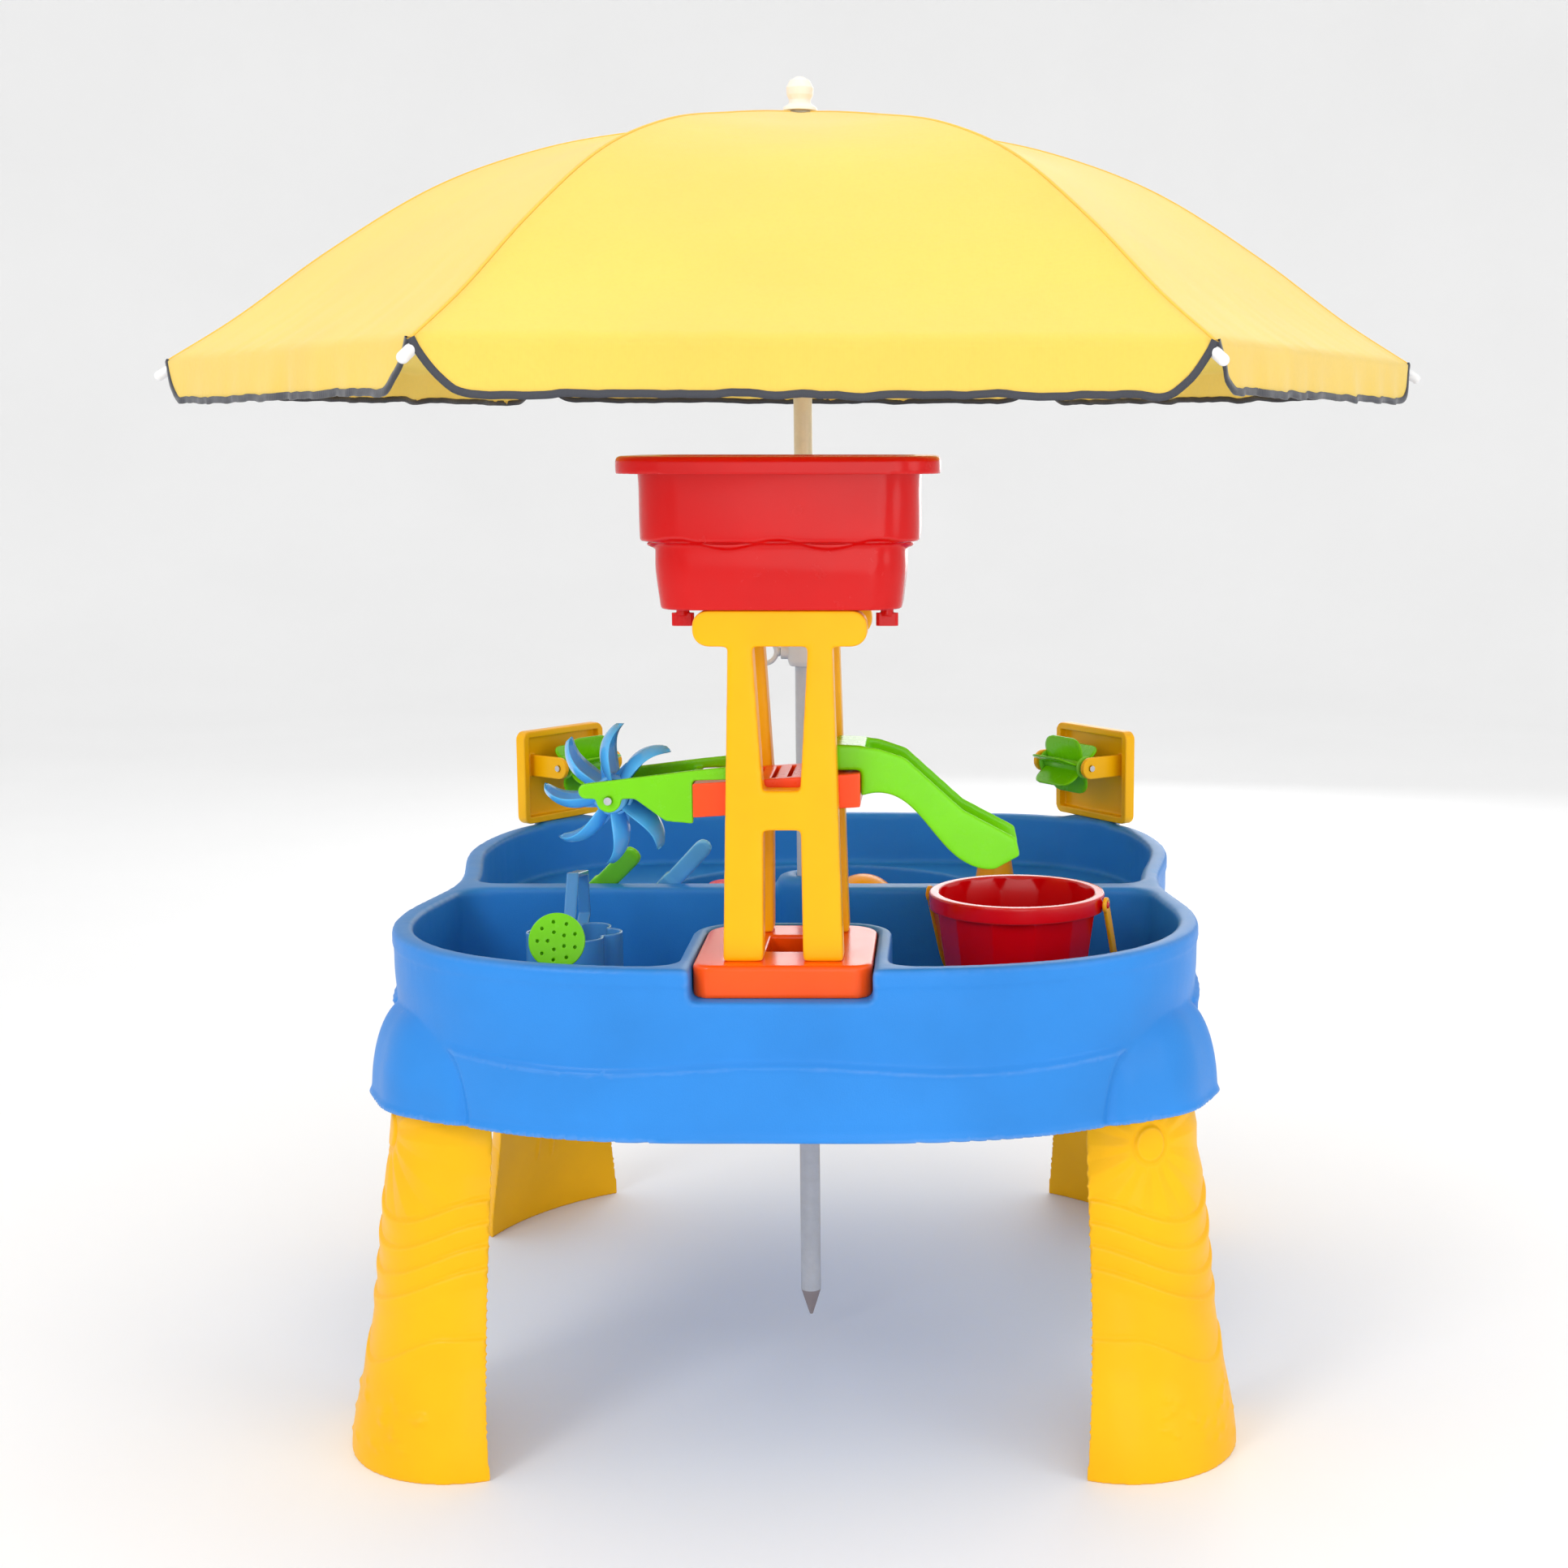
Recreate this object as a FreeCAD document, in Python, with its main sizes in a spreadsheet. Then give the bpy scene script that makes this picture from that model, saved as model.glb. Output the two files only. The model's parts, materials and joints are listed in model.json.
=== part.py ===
import FreeCAD, Part
import math
import os
from FreeCAD import Placement, Rotation, Vector

# Sand and water play table with a water tower and an umbrella.
# Frame: millimetres, +Z up, +X right, +Y towards the back. The origin is on the floor, under the
# umbrella pole's axis, so the tray reaches further behind the pole than in front of it.

DIMENSIONS = {
    # tray
    "RimHeight": 415.0, "SkirtHeight": 280.0, "FloorHeight": 295.0, "LedgeHeight": 362.0,
    "WallThickness": 4.0, "RimWidth": 17.0, "DividerHalf": 13.0,
    "BossRadius": 27.0, "BossHeight": 426.0,
    # legs
    "LegWall": 3.5, "LegTopRadius": 72.7, "ScrewRadius": 2.0,
    # tower
    "BaseWidth": 136.0, "BaseFront": -314.0, "BaseBack": -165.0, "BaseThickness": 25.0,
    "BaseCorner": 26.0, "CompartmentCorner": 26.0,
    "FrameThickness": 24.0, "FrontFrameFace": -298.0, "BackFrameFace": -196.0,
    "HeadTop": 680.0, "HeadBottom": 653.0, "HeadWidth": 130.0,
    "CrossTop": 545.0, "CrossBottom": 515.0, "TenonLength": 10.0,
    "TowerCentre": -238.0,
    # basin
    "BasinHeight": 113.0, "BasinWall": 3.0, "BasinLip": 13.0,
    "PlugReach": 78.0, "PlugRadius": 5.0,
    # water wheel
    "WheelX": -133.0, "WheelHeight": 534.0, "WheelRadius": 54.0, "WheelWidth": 46.0,
    "AxleRadius": 3.0, "RunningGap": 0.06,
    # back panels and their small wheels
    "PanelLength": 112.0, "PanelHeight": 95.0, "PanelDepth": 12.0, "PanelBase": 417.0,
    "SmallAxleHeight": 476.0, "SmallWheelRadius": 29.0, "SmallWheelWidth": 62.0,
    # umbrella
    "UpperPoleRadius": 8.0, "LowerPoleRadius": 9.0, "TubeWall": 0.9, "SlideGap": 0.1,
    "LowerPoleBottom": 42.0, "LowerPoleTop": 640.0, "UpperPoleBottom": 500.0,
    "RibRadius": 2.2, "RibTipReach": 526.0, "StrutRadius": 1.6,
    "CanopyReach": 530.0, "CanopyTop": 1077.0, "CanopyTurn": 5.0, "ClampHeight": 622.0,
    # accessories
    "BucketX": 181.4, "BucketY": -128.0, "BucketHeight": 140.0, "BucketRadius": 72.5,
}

doc = FreeCAD.newDocument("SandWaterTable")
sheet = doc.addObject("Spreadsheet::Sheet", "Sizes")
for row_number, (alias, value) in enumerate(DIMENSIONS.items(), start=1):
    sheet.set("A%d" % row_number, alias)
    sheet.set("B%d" % row_number, str(value))
    sheet.setAlias("B%d" % row_number, alias)
doc.recompute()


def size(alias):
    """A driving dimension, read from the sheet."""
    return float(sheet.get(alias))


PARTS = []


def keep(thing, node):
    """Label a finished sub-part with its node's name."""
    thing.Label = node
    PARTS.append(thing)
    return thing


def feature(node, shape, placement=None):
    """A sub-part whose shape is set in code."""
    thing = doc.addObject("Part::Feature", node)
    thing.Shape = shape
    if placement is not None:
        thing.Placement = placement.multiply(shape.Placement)
    return keep(thing, node)


def at(x=0.0, y=0.0, z=0.0, rotation=None):
    return Placement(Vector(x, y, z), rotation or Rotation())


def primitive(kind, name, place=None, **bound):
    """A Part primitive with its sizes bound to expressions of the sheet."""
    thing = doc.addObject("Part::" + kind, name)
    for prop, expression in bound.items():
        thing.setExpression(prop, expression)
    if place is not None:
        thing.Placement = place
    return thing


def cut(name, base, tool):
    thing = doc.addObject("Part::Cut", name)
    thing.Base = base
    thing.Tool = tool
    return thing


def fuse(name, *pieces):
    thing = doc.addObject("Part::MultiFuse", name)
    thing.Shapes = list(pieces)
    return thing


def cylinder(radius, length, base=(0, 0, 0), axis=(0, 0, 1)):
    return Part.makeCylinder(radius, length, Vector(*base), Vector(*axis))


def block(x0, x1, y0, y1, z0, z1):
    return Part.makeBox(x1 - x0, y1 - y0, z1 - z0, Vector(x0, y0, z0))


def prism(points, direction):
    """A straight prism on a polygon of 3-D points."""
    corners = [Vector(*p) for p in points]
    wire = Part.makePolygon(corners + [corners[0]])
    return Part.Face(wire).extrude(Vector(*direction))


def rounded_rectangle(half_x, half_y, radius, z, centre=(0.0, 0.0)):
    """A closed wire of four lines and four quarter arcs."""
    cx, cy = centre
    edges = []
    corners = ((1, 1, 0), (-1, 1, 90), (-1, -1, 180), (1, -1, 270))
    ends = []
    for sx, sy, start in corners:
        middle = Vector(cx + sx * (half_x - radius), cy + sy * (half_y - radius), z)
        circle = Part.Circle(middle, Vector(0, 0, 1), radius)
        arc = Part.Arc(circle, math.radians(start), math.radians(start + 90))
        ends.append((arc.StartPoint, arc.EndPoint, arc.toShape()))
    for index, (first, last, arc) in enumerate(ends):
        edges.append(arc)
        following = ends[(index + 1) % 4][0]
        edges.append(Part.LineSegment(last, following).toShape())
    return Part.Wire(Part.__sortEdges__(edges))


def extrude_wire(wire, height):
    return Part.Face(wire).extrude(Vector(0, 0, height))


def mirrored(shape):
    """The shape's mirror image across the plane x = 0."""
    return shape.mirror(Vector(0, 0, 0), Vector(1, 0, 0))


# ---------------------------------------------------------------- tray

# Right half of the rim's outline, from the front centre round to the back centre.
RIM_OUTLINE = [(0, -326), (105, -325), (190, -310), (268, -268), (318, -198), (331, -112), (314, 8),
               (322, 90), (334, 165), (330, 245), (302, 325), (236, 383), (115, 402)]
BACK_CENTRE = (0, 405)
TRAY_MIDDLE = 43.0
LEG_TOPS = {
    "front_left": (-259.0, -194.0), "front_right": (259.0, -194.0),
    "back_left": (-259.0, 280.0), "back_right": (259.0, 280.0),
}


DOME_TOP_RADIUS = 44.0
DOME_HEIGHT = 80.0
SOCKET_GAP = 0.3


def rim_wire(inset, z):
    """The tray's outline moved inwards by inset, at height z."""
    left = [(-x, y) for x, y in reversed(RIM_OUTLINE[1:])]
    outline = RIM_OUTLINE + [BACK_CENTRE] + left
    points = []
    for index, (x, y) in enumerate(outline):
        before = outline[index - 1]
        after = outline[(index + 1) % len(outline)]
        along = Vector(after[0] - before[0], after[1] - before[1], 0).normalize()
        points.append(Vector(x - along.y * inset, y + along.x * inset, z))
    curve = Part.BSplineCurve()
    curve.interpolate(Points=points, PeriodicFlag=True)
    return Part.Wire(curve.toShape())


def slab(inset, bottom, top):
    return extrude_wire(rim_wire(inset, bottom), top - bottom)


def leg_dome(x, y, bottom):
    """The dome over a leg's top: a stack of cones that closes in an elliptic curve."""
    swell = size("LegTopRadius") - DOME_TOP_RADIUS
    levels = []
    for share in (0.0, 0.18, 0.40, 0.62, 0.80, 0.93, 1.0):
        levels.append((share * DOME_HEIGHT, DOME_TOP_RADIUS + swell * math.sqrt(1.0 - share ** 2)))
    rings = []
    for (low, wide), (high, narrow) in zip(levels, levels[1:]):
        rings.append(Part.makeCone(wide, narrow, high - low, Vector(x, y, bottom + low)))
    return rings[0].fuse(rings[1:])


def upright_edges(shape):
    """The shape's vertical edges."""
    found = []
    for edge in shape.Edges:
        box = edge.BoundBox
        if box.XLength < 0.01 and box.YLength < 0.01 and box.ZLength > 5.0:
            found.append(edge)
    return found


def tongue(half, back, radius, bottom, top):
    """A tongue that reaches in from the tray's front, with two rounded corners at its end."""
    shape = block(-half, half, -400, back, bottom, top)
    return shape.makeFillet(radius, [e for e in upright_edges(shape) if e.BoundBox.YMax > -390])


def compartments(grow, floor):
    """The two open compartments, larger all round by grow, from floor up past the rim."""
    top = size("RimHeight") + 5.0
    inside = slab(size("RimWidth") - grow, floor, top)
    half = size("DividerHalf") - grow
    base_half = size("BaseWidth") / 2 + 12.0 - grow
    base_back = size("BaseBack") + 12.0 - grow
    front = inside.common(block(-400, 400, -400, -half, floor, top))
    front = front.cut(tongue(base_half, base_back, size("BaseCorner") + 12.0 - grow, floor, top))
    corner = size("CompartmentCorner") + grow
    front = front.makeFillet(corner, [e for e in upright_edges(front) if abs(e.BoundBox.XMax) > base_half - 1])
    back = inside.common(block(-400, 400, half, 500, floor, top))
    ledge_floor = size("LedgeHeight") - (size("FloorHeight") - floor)
    ledge = back.common(block(-400, 400, 0, 500, ledge_floor, top))
    ledge = ledge.makeFillet(corner, [e for e in upright_edges(ledge) if e.BoundBox.YMax < half + 1])
    pool = Part.Ellipse(Vector(0, 222, floor), 165 + grow, 158 + grow).toShape()
    pool = extrude_wire(Part.Wire(pool), top - floor).common(back)
    return front, ledge.fuse(pool)


def tray_shape():
    rim = size("RimHeight")
    skirt = size("SkirtHeight")
    floor = size("FloorHeight")
    wall = size("WallThickness")
    under = floor - wall
    corners = [leg_dome(x, y, skirt) for x, y in LEG_TOPS.values()]
    outer = slab(4.0, skirt, rim - 12).fuse([slab(0.0, rim - 13, rim)] + corners)
    front, back = compartments(0.0, floor)
    front_shell, back_shell = compartments(wall, under)
    hollow = slab(4.0 + wall, skirt - 1, rim - wall)
    base_half = size("BaseWidth") / 2
    recess_floor = rim - size("BaseThickness")
    recess_shell = tongue(base_half + wall, size("BaseBack") + wall, size("BaseCorner") + wall,
                          recess_floor - wall, rim)
    boss = cylinder(size("BossRadius"), size("BossHeight") - under, (0, 0, under))
    hollow = hollow.cut(front_shell.fuse([back_shell, recess_shell, boss]))
    shape = outer.cut(hollow)
    for x, y in LEG_TOPS.values():
        shape = shape.cut(cylinder(size("LegTopRadius") - wall, under - skirt + 1, (x, y, skirt - 1)))
    # nothing of the corner domes stays inside the compartments
    shape = shape.cut(front.fuse(back))
    edge = [e for e in boss.Edges
            if abs(e.BoundBox.ZMin - size("BossHeight")) < 0.01 and e.BoundBox.XLength > size("BossRadius")]
    shape = shape.fuse(boss.makeFillet(8.0, edge))
    recess = tongue(base_half + SOCKET_GAP, size("BaseBack") + SOCKET_GAP, size("BaseCorner"),
                    recess_floor, rim + 20)
    shape = shape.cut(recess)
    shape = shape.cut(cylinder(size("LowerPoleRadius") + size("SlideGap"), 300, (0, 0, 200)))
    for side in (-1, 1):
        foot = block(-32, 32, -11, 11, rim - 3, size("PanelBase"))
        shape = shape.fuse(foot.transformed(panel_place(side, 0).toMatrix()))
    return shape.removeSplitter()


# ---------------------------------------------------------------- back panels

PANEL_ANGLE = 53.6
PANEL_MIDDLE = (276.0, 352.0)


def panel_place(side, z):
    """Local +X along the panel, local -Y towards the middle of the tray."""
    turn = Rotation(Vector(0, 0, 1), -side * PANEL_ANGLE)
    return at(side * PANEL_MIDDLE[0], PANEL_MIDDLE[1], z, turn)


AXLE_OFFSET = -38.0


def panel_shape():
    """A shallow framed panel with two round-ended ears that carry a small wheel."""
    length = size("PanelLength")
    base = size("PanelBase")
    top = base + size("PanelHeight")
    deep = size("PanelDepth")
    height = size("SmallAxleHeight")
    body = block(-length / 2, length / 2, -deep / 2, deep / 2, base, top)
    upright = [e for e in body.Edges if e.BoundBox.YLength > 5]
    body = body.makeFillet(9.0, upright)
    face = block(-length / 2 + 7, length / 2 - 7, -deep, -deep / 2 + 8, base + 7, top - 7)
    body = body.cut(face)
    for side in (-1, 1):
        x0 = side * 38.0 - 2.5
        ear = block(x0, x0 + 5, AXLE_OFFSET, 4, height - 11, height + 11)
        ear = ear.fuse(cylinder(11, 5, (x0, AXLE_OFFSET, height), (1, 0, 0)))
        body = body.fuse(ear)
    hole = cylinder(size("AxleRadius"), 100, (-50, AXLE_OFFSET, height), (1, 0, 0))
    return body.cut(hole).removeSplitter()


def small_wheel_shape():
    """Six flat blades round a hub, with round end discs."""
    height = size("SmallAxleHeight")
    radius = size("SmallWheelRadius")
    width = size("SmallWheelWidth")
    hub = cylinder(7, width, (-width / 2, 0, 0), (1, 0, 0))
    blades = [hub]
    for index in range(6):
        blade = block(-width / 2 + 1, width / 2 - 1, -1.2, 1.2, 5, radius)
        blade.rotate(Vector(0, 0, 0), Vector(1, 0, 0), 60.0 * index + 15.0)
        blades.append(blade)
    for x in (-width / 2, width / 2 - 2):
        blades.append(cylinder(13, 2, (x, 0, 0), (1, 0, 0)))
    shape = blades[0].fuse(blades[1:])
    bore = size("AxleRadius") + size("RunningGap")
    shape = shape.cut(cylinder(bore, width + 2, (-width / 2 - 1, 0, 0), (1, 0, 0)))
    shape.translate(Vector(0, AXLE_OFFSET, height))
    return shape


def make_panels():
    for side, word in ((-1, "left"), (1, "right")):
        place = panel_place(side, 0)
        feature("panel_" + word, panel_shape(), place)
        feature("small_wheel_" + word, small_wheel_shape(), place)
        pin = cylinder(size("AxleRadius"), 84, (-42, AXLE_OFFSET, size("SmallAxleHeight")), (1, 0, 0))
        feature("small_axle_" + word, pin, place)


# ---------------------------------------------------------------- legs

# height, inner front end, outer side end, bulge of the outer wall, bulge of the inner wall
LEG_SECTIONS = [
    (0.0, (232.0, -300.0), (340.0, -160.0), 69.0, 16.0),
    (55.0, (235.0, -292.0), (334.0, -158.0), 62.0, 15.0),
    (120.0, (236.0, -276.0), (326.0, -154.0), 55.0, 13.0),
    (200.0, (234.0, -262.0), (319.0, -151.0), 52.0, 10.0),
    (270.0, (232.0, -253.0), (312.0, -151.0), 48.0, 8.0),
    (290.9, (232.0, -253.0), (312.0, -151.0), 48.0, 8.0),
]
LEG_TOP = LEG_SECTIONS[-1][0]
LEG_HOLLOW_TOP = 286.0
LEG_SCREWS = [(274.5, -230.0), (297.5, -199.0)]


def leg_section(section, inset):
    """A crescent in plan: a deep outer arc and a shallow inner arc between the same two ends."""
    z, front, side, outer_bulge, inner_bulge = section
    first = Vector(front[0], front[1], z)
    last = Vector(side[0], side[1], z)
    along = (last - first).normalize()
    out = Vector(along.y, -along.x, 0)
    first = first + along * inset
    last = last - along * inset
    middle = (first + last) * 0.5
    outer = Part.Arc(first + out * inset, middle + out * (outer_bulge - inset), last + out * inset)
    inner = Part.Arc(last + out * inset, middle + out * (inner_bulge + inset), first + out * inset)
    return Part.Wire([outer.toShape(), inner.toShape()])


def leg_shape():
    outer = Part.makeLoft([leg_section(s, 0.0) for s in LEG_SECTIONS], True, False)
    wall = size("LegWall")
    hollow = Part.makeLoft([leg_section(s, wall) for s in LEG_SECTIONS], True, False)
    hollow = hollow.common(block(0, 500, -500, 500, -1, LEG_HOLLOW_TOP))
    shape = outer.cut(hollow)
    for x, y in LEG_SCREWS:
        shape = shape.cut(cylinder(size("ScrewRadius") + 0.4, 60, (x, y, 250)))
    return shape


def leg_copies(shape):
    """The front right piece and its three mirror images, by corner."""
    front_left = mirrored(shape)
    back_right = shape.mirror(Vector(0, TRAY_MIDDLE, 0), Vector(0, 1, 0))
    return {
        "front_right": shape,
        "front_left": front_left,
        "back_right": back_right,
        "back_left": mirrored(back_right),
    }


def screw_shape(x, y):
    """A headed screw from inside the leg's top up into the tray."""
    seat = LEG_HOLLOW_TOP - 0.1
    under = size("FloorHeight") - size("WallThickness")
    head = Part.makeCone(4.0, 2.6, 2.4, Vector(x, y, seat), Vector(0, 0, -1))
    slot = block(x - 3, x + 3, y - 0.5, y + 0.5, seat - 4, seat - 1.5)
    shank = cylinder(size("ScrewRadius"), under + 2.5 - seat, (x, y, seat))
    return head.fuse(shank).cut(slot)


def make_legs():
    for corner, shape in leg_copies(leg_shape()).items():
        feature("leg_" + corner, shape)
    screws = []
    for x, y in LEG_SCREWS:
        screws.extend(leg_copies(screw_shape(x, y)).values())
    feature("leg_screws", Part.makeCompound(screws))
    return screws


# ---------------------------------------------------------------- tower

def make_tower_base():
    """A plinth, rounder at its back, with sockets for the four posts and a drain opening."""
    half = size("BaseWidth") / 2
    front = size("BaseFront")
    back = size("BaseBack")
    top = size("RimHeight")
    bottom = top - size("BaseThickness")
    shape = block(-half, half, front, back, bottom, top)
    uprights = upright_edges(shape)
    shape = shape.makeFillet(size("BaseCorner"), [e for e in uprights if e.BoundBox.YMax > back - 1])
    front_edges = [e for e in upright_edges(shape) if e.BoundBox.YMax < front + 1]
    shape = shape.makeFillet(15.0, front_edges)
    rim = [e for e in shape.Edges if e.BoundBox.ZMin > top - 0.1]
    shape = shape.makeFillet(3.0, rim)
    shape = shape.cut(block(-16, 16, -262, -206, bottom - 1, top + 1))
    for tenon in tenons(0.2, top - size("TenonLength")):
        shape = shape.cut(tenon)
    feature("tower_base", shape)


def tenons(gap, bottom):
    """The square feet of the four posts, larger all round by gap."""
    blocks = []
    thick = size("FrameThickness")
    for face in (size("FrontFrameFace"), size("BackFrameFace")):
        for side in (-1, 1):
            middle_x = side * 31.5
            middle_y = face + thick / 2
            blocks.append(block(middle_x - 11 - gap, middle_x + 11 + gap,
                                middle_y - 8 - gap, middle_y + 8 + gap, bottom, size("RimHeight") + 1))
    return blocks


def make_frame(node, face):
    """One ladder frame of the tower: a sketched outline padded to its thickness."""
    body = doc.addObject("PartDesign::Body", node + "_body")
    plane = [o for o in body.Origin.OriginFeatures if o.Role == "XZ_Plane"][0]
    sketch = body.newObject("Sketcher::SketchObject", node + "_outline")
    sketch.AttachmentSupport = [(plane, "")]
    sketch.MapMode = "FlatFace"
    foot = size("RimHeight")
    head = size("HeadBottom")
    cross_low = size("CrossBottom")
    cross_high = size("CrossTop")

    def outer(z):
        return 45.5 - 6.5 * (z - foot) / (head - foot)

    half = size("HeadWidth") / 2
    top = size("HeadTop")
    foot_gap, cross_gap, head_gap = 15.0, 14.0, 20.5
    outline = [(outer(foot), foot), (outer(head), head), (half, head), (half, top), (-half, top),
               (-half, head), (-outer(head), head), (-outer(foot), foot), (-foot_gap, foot),
               (-cross_gap, cross_low), (cross_gap, cross_low), (foot_gap, foot)]
    window = [(cross_gap, cross_high), (head_gap, head), (-head_gap, head), (-cross_gap, cross_high)]
    for loop in (outline, window):
        for index, start in enumerate(loop):
            end = loop[(index + 1) % len(loop)]
            line = Part.LineSegment(Vector(start[0], start[1], 0), Vector(end[0], end[1], 0))
            sketch.addGeometry(line, False)
    pad = body.newObject("PartDesign::Pad", node + "_pad")
    pad.Profile = sketch
    pad.setExpression("Length", "Sizes.FrameThickness")
    doc.recompute()
    ends = [name_of_edge(pad.Shape, e) for e in pad.Shape.Edges
            if e.BoundBox.YLength > 10 and abs(abs(e.BoundBox.Center.x) - half) < 0.1]
    round_ends = body.newObject("PartDesign::Fillet", node + "_ends")
    round_ends.Base = (pad, ends)
    round_ends.Radius = 12.0
    body.Tip = round_ends
    doc.recompute()
    shift = face - round_ends.Shape.BoundBox.YMin
    middle = face + size("FrameThickness") / 2
    feet = [t for t in tenons(0.0, foot - size("TenonLength")) if abs(t.BoundBox.Center.y - middle) < 1]
    body.Placement = at(0, shift, 0)
    doc.recompute()
    tenon_part = doc.addObject("Part::Feature", node + "_tenons")
    tenon_part.Shape = Part.makeCompound(feet)
    keep(fuse(node + "_whole", body, tenon_part), node)


def name_of_edge(shape, edge):
    for index, other in enumerate(shape.Edges, start=1):
        if other.isSame(edge):
            return "Edge%d" % index
    raise ValueError("edge not found")


CONNECTOR_LEFT = -69.0
CONNECTOR_RIGHT = 58.0


def make_connector():
    """The block between the two frames that carries both chutes; its top is a slatted grate."""
    front = size("FrontFrameFace") + size("FrameThickness")
    back = size("BackFrameFace")
    low, high = 521.0, 547.0
    rise = 8.0
    outline = [(CONNECTOR_LEFT, front, low), (CONNECTOR_RIGHT, front, low + rise),
               (CONNECTOR_RIGHT, front, high + rise), (CONNECTOR_LEFT, front, high)]
    shape = prism(outline, (0, back - front, 0))
    shape = shape.cut(block(-40, 40, front + 6, back - 6, low - 5, high - 8))
    for index in range(4):
        x = -22.0 + 12.0 * index
        shape = shape.cut(block(x, x + 3, front + 8, back - 8, low - 5, high + 20))
    feature("connector", shape)


def make_cradle():
    """A forked arm on the connector that carries the water wheel between two side plates."""
    front, back = -273.0, -201.0
    arm = [(-150, 535), (-150, 547), (CONNECTOR_LEFT, 557), (-40, 560), (-40, 550), (CONNECTOR_LEFT, 549),
           (CONNECTOR_LEFT, 516), (-90, 518), (-113, 535)]
    x0, z0 = size("WheelX"), size("WheelHeight")
    pieces = []
    for y in (front, back - 5):
        plate = prism([(x, y, z) for x, z in arm], (0, 5, 0))
        plate = plate.fuse(cylinder(9.5, 5, (x0, y, z0), (0, 1, 0)))
        plate = plate.fuse(cylinder(6, 5, (-150, y, 541), (0, 1, 0)))
        pieces.append(plate)
    pieces.append(block(CONNECTOR_LEFT - 5, CONNECTOR_LEFT, front, back, 518, 550))
    shape = pieces[0].fuse(pieces[1:])
    shape = shape.cut(cylinder(size("AxleRadius"), 100, (x0, -290, z0), (0, 1, 0)))
    feature("wheel_cradle", shape.removeSplitter())
    axle = primitive("Cylinder", "wheel_axle_pin", at(x0, -277, z0, Rotation(Vector(1, 0, 0), -90)),
                     Radius="Sizes.AxleRadius")
    axle.Height = 80
    keep(axle, "wheel_axle")


def water_wheel_shape():
    """Eight scooped blades round a hub, with a star web in the middle."""
    radius = size("WheelRadius")
    width = size("WheelWidth")
    pieces = [cylinder(12, width, (0, -width / 2, 0), (0, 1, 0))]
    thick = 2.4
    for index in range(8):
        inner_arc = [Vector(10, 0, 0), Vector(32, 0, 6), Vector(radius - 1.5, 0, 17)]
        outer_arc = [p + Vector(0, 0, -thick) for p in inner_arc]
        edges = [
            Part.Arc(*inner_arc).toShape(),
            Part.LineSegment(inner_arc[2], outer_arc[2]).toShape(),
            Part.Arc(*reversed(outer_arc)).toShape(),
            Part.LineSegment(outer_arc[0], inner_arc[0]).toShape(),
        ]
        blade = Part.Face(Part.Wire(edges)).extrude(Vector(0, width - 4, 0))
        blade.translate(Vector(0, -width / 2 + 2, 0))
        blade.rotate(Vector(0, 0, 0), Vector(0, 1, 0), 45.0 * index + 8.0)
        pieces.append(blade)
    pieces.append(cylinder(26, 2.4, (0, -1.2, 0), (0, 1, 0)))
    shape = pieces[0].fuse(pieces[1:])
    bore = size("AxleRadius") + size("RunningGap")
    return shape.cut(cylinder(bore, width + 2, (0, -width / 2 - 1, 0), (0, 1, 0)))


# Side view of the chute: the trough's underside and the top of its side walls, x then z.
CHUTE_LOW = [(CONNECTOR_RIGHT, 536), (84, 536), (120, 500), (160, 479)]
CHUTE_HIGH = [(180, 490), (177, 504), (136, 526), (92, 566), (72, 573), (CONNECTOR_RIGHT, 575),
              (37, 576), (37, 556), (CONNECTOR_RIGHT, 556)]


def make_chute():
    """A sloping trough with side walls, open at its lower end; its root rests on the connector."""
    front, back = -266.0, -206.0
    wall = 3.5

    def side_face(lift, low_points, high_points):
        low = [Vector(x, 0, z + lift) for x, z in low_points]
        curve = Part.BSplineCurve()
        curve.interpolate(low)
        high = [Vector(x, 0, z) for x, z in high_points]
        edges = [curve.toShape(), Part.makePolygon([low[-1]] + high + [low[0]])]
        return Part.Face(Part.Wire(Part.__sortEdges__(edges[:1] + edges[1].Edges)))

    solid = side_face(0, CHUTE_LOW, CHUTE_HIGH).extrude(Vector(0, back - front, 0))
    solid.translate(Vector(0, front, 0))
    inner_low = [(CONNECTOR_RIGHT + wall, 536), (85, 536), (121, 501), (190, 462)]
    inner_high = [(210, 480), (210, 640), (CONNECTOR_RIGHT + wall, 640)]
    trough = side_face(wall, inner_low, inner_high).extrude(Vector(0, back - front - 2 * wall, 0))
    trough.translate(Vector(0, front + wall, 0))
    feature("slide_chute", solid.cut(trough))


# ---------------------------------------------------------------- basin

def tub(low, high, bottom, top):
    """A tub that widens upwards: half sizes and corner radius at the bottom and at the top."""
    return Part.makeLoft([rounded_rectangle(*low, bottom), rounded_rectangle(*high, top)], True, True)


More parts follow.
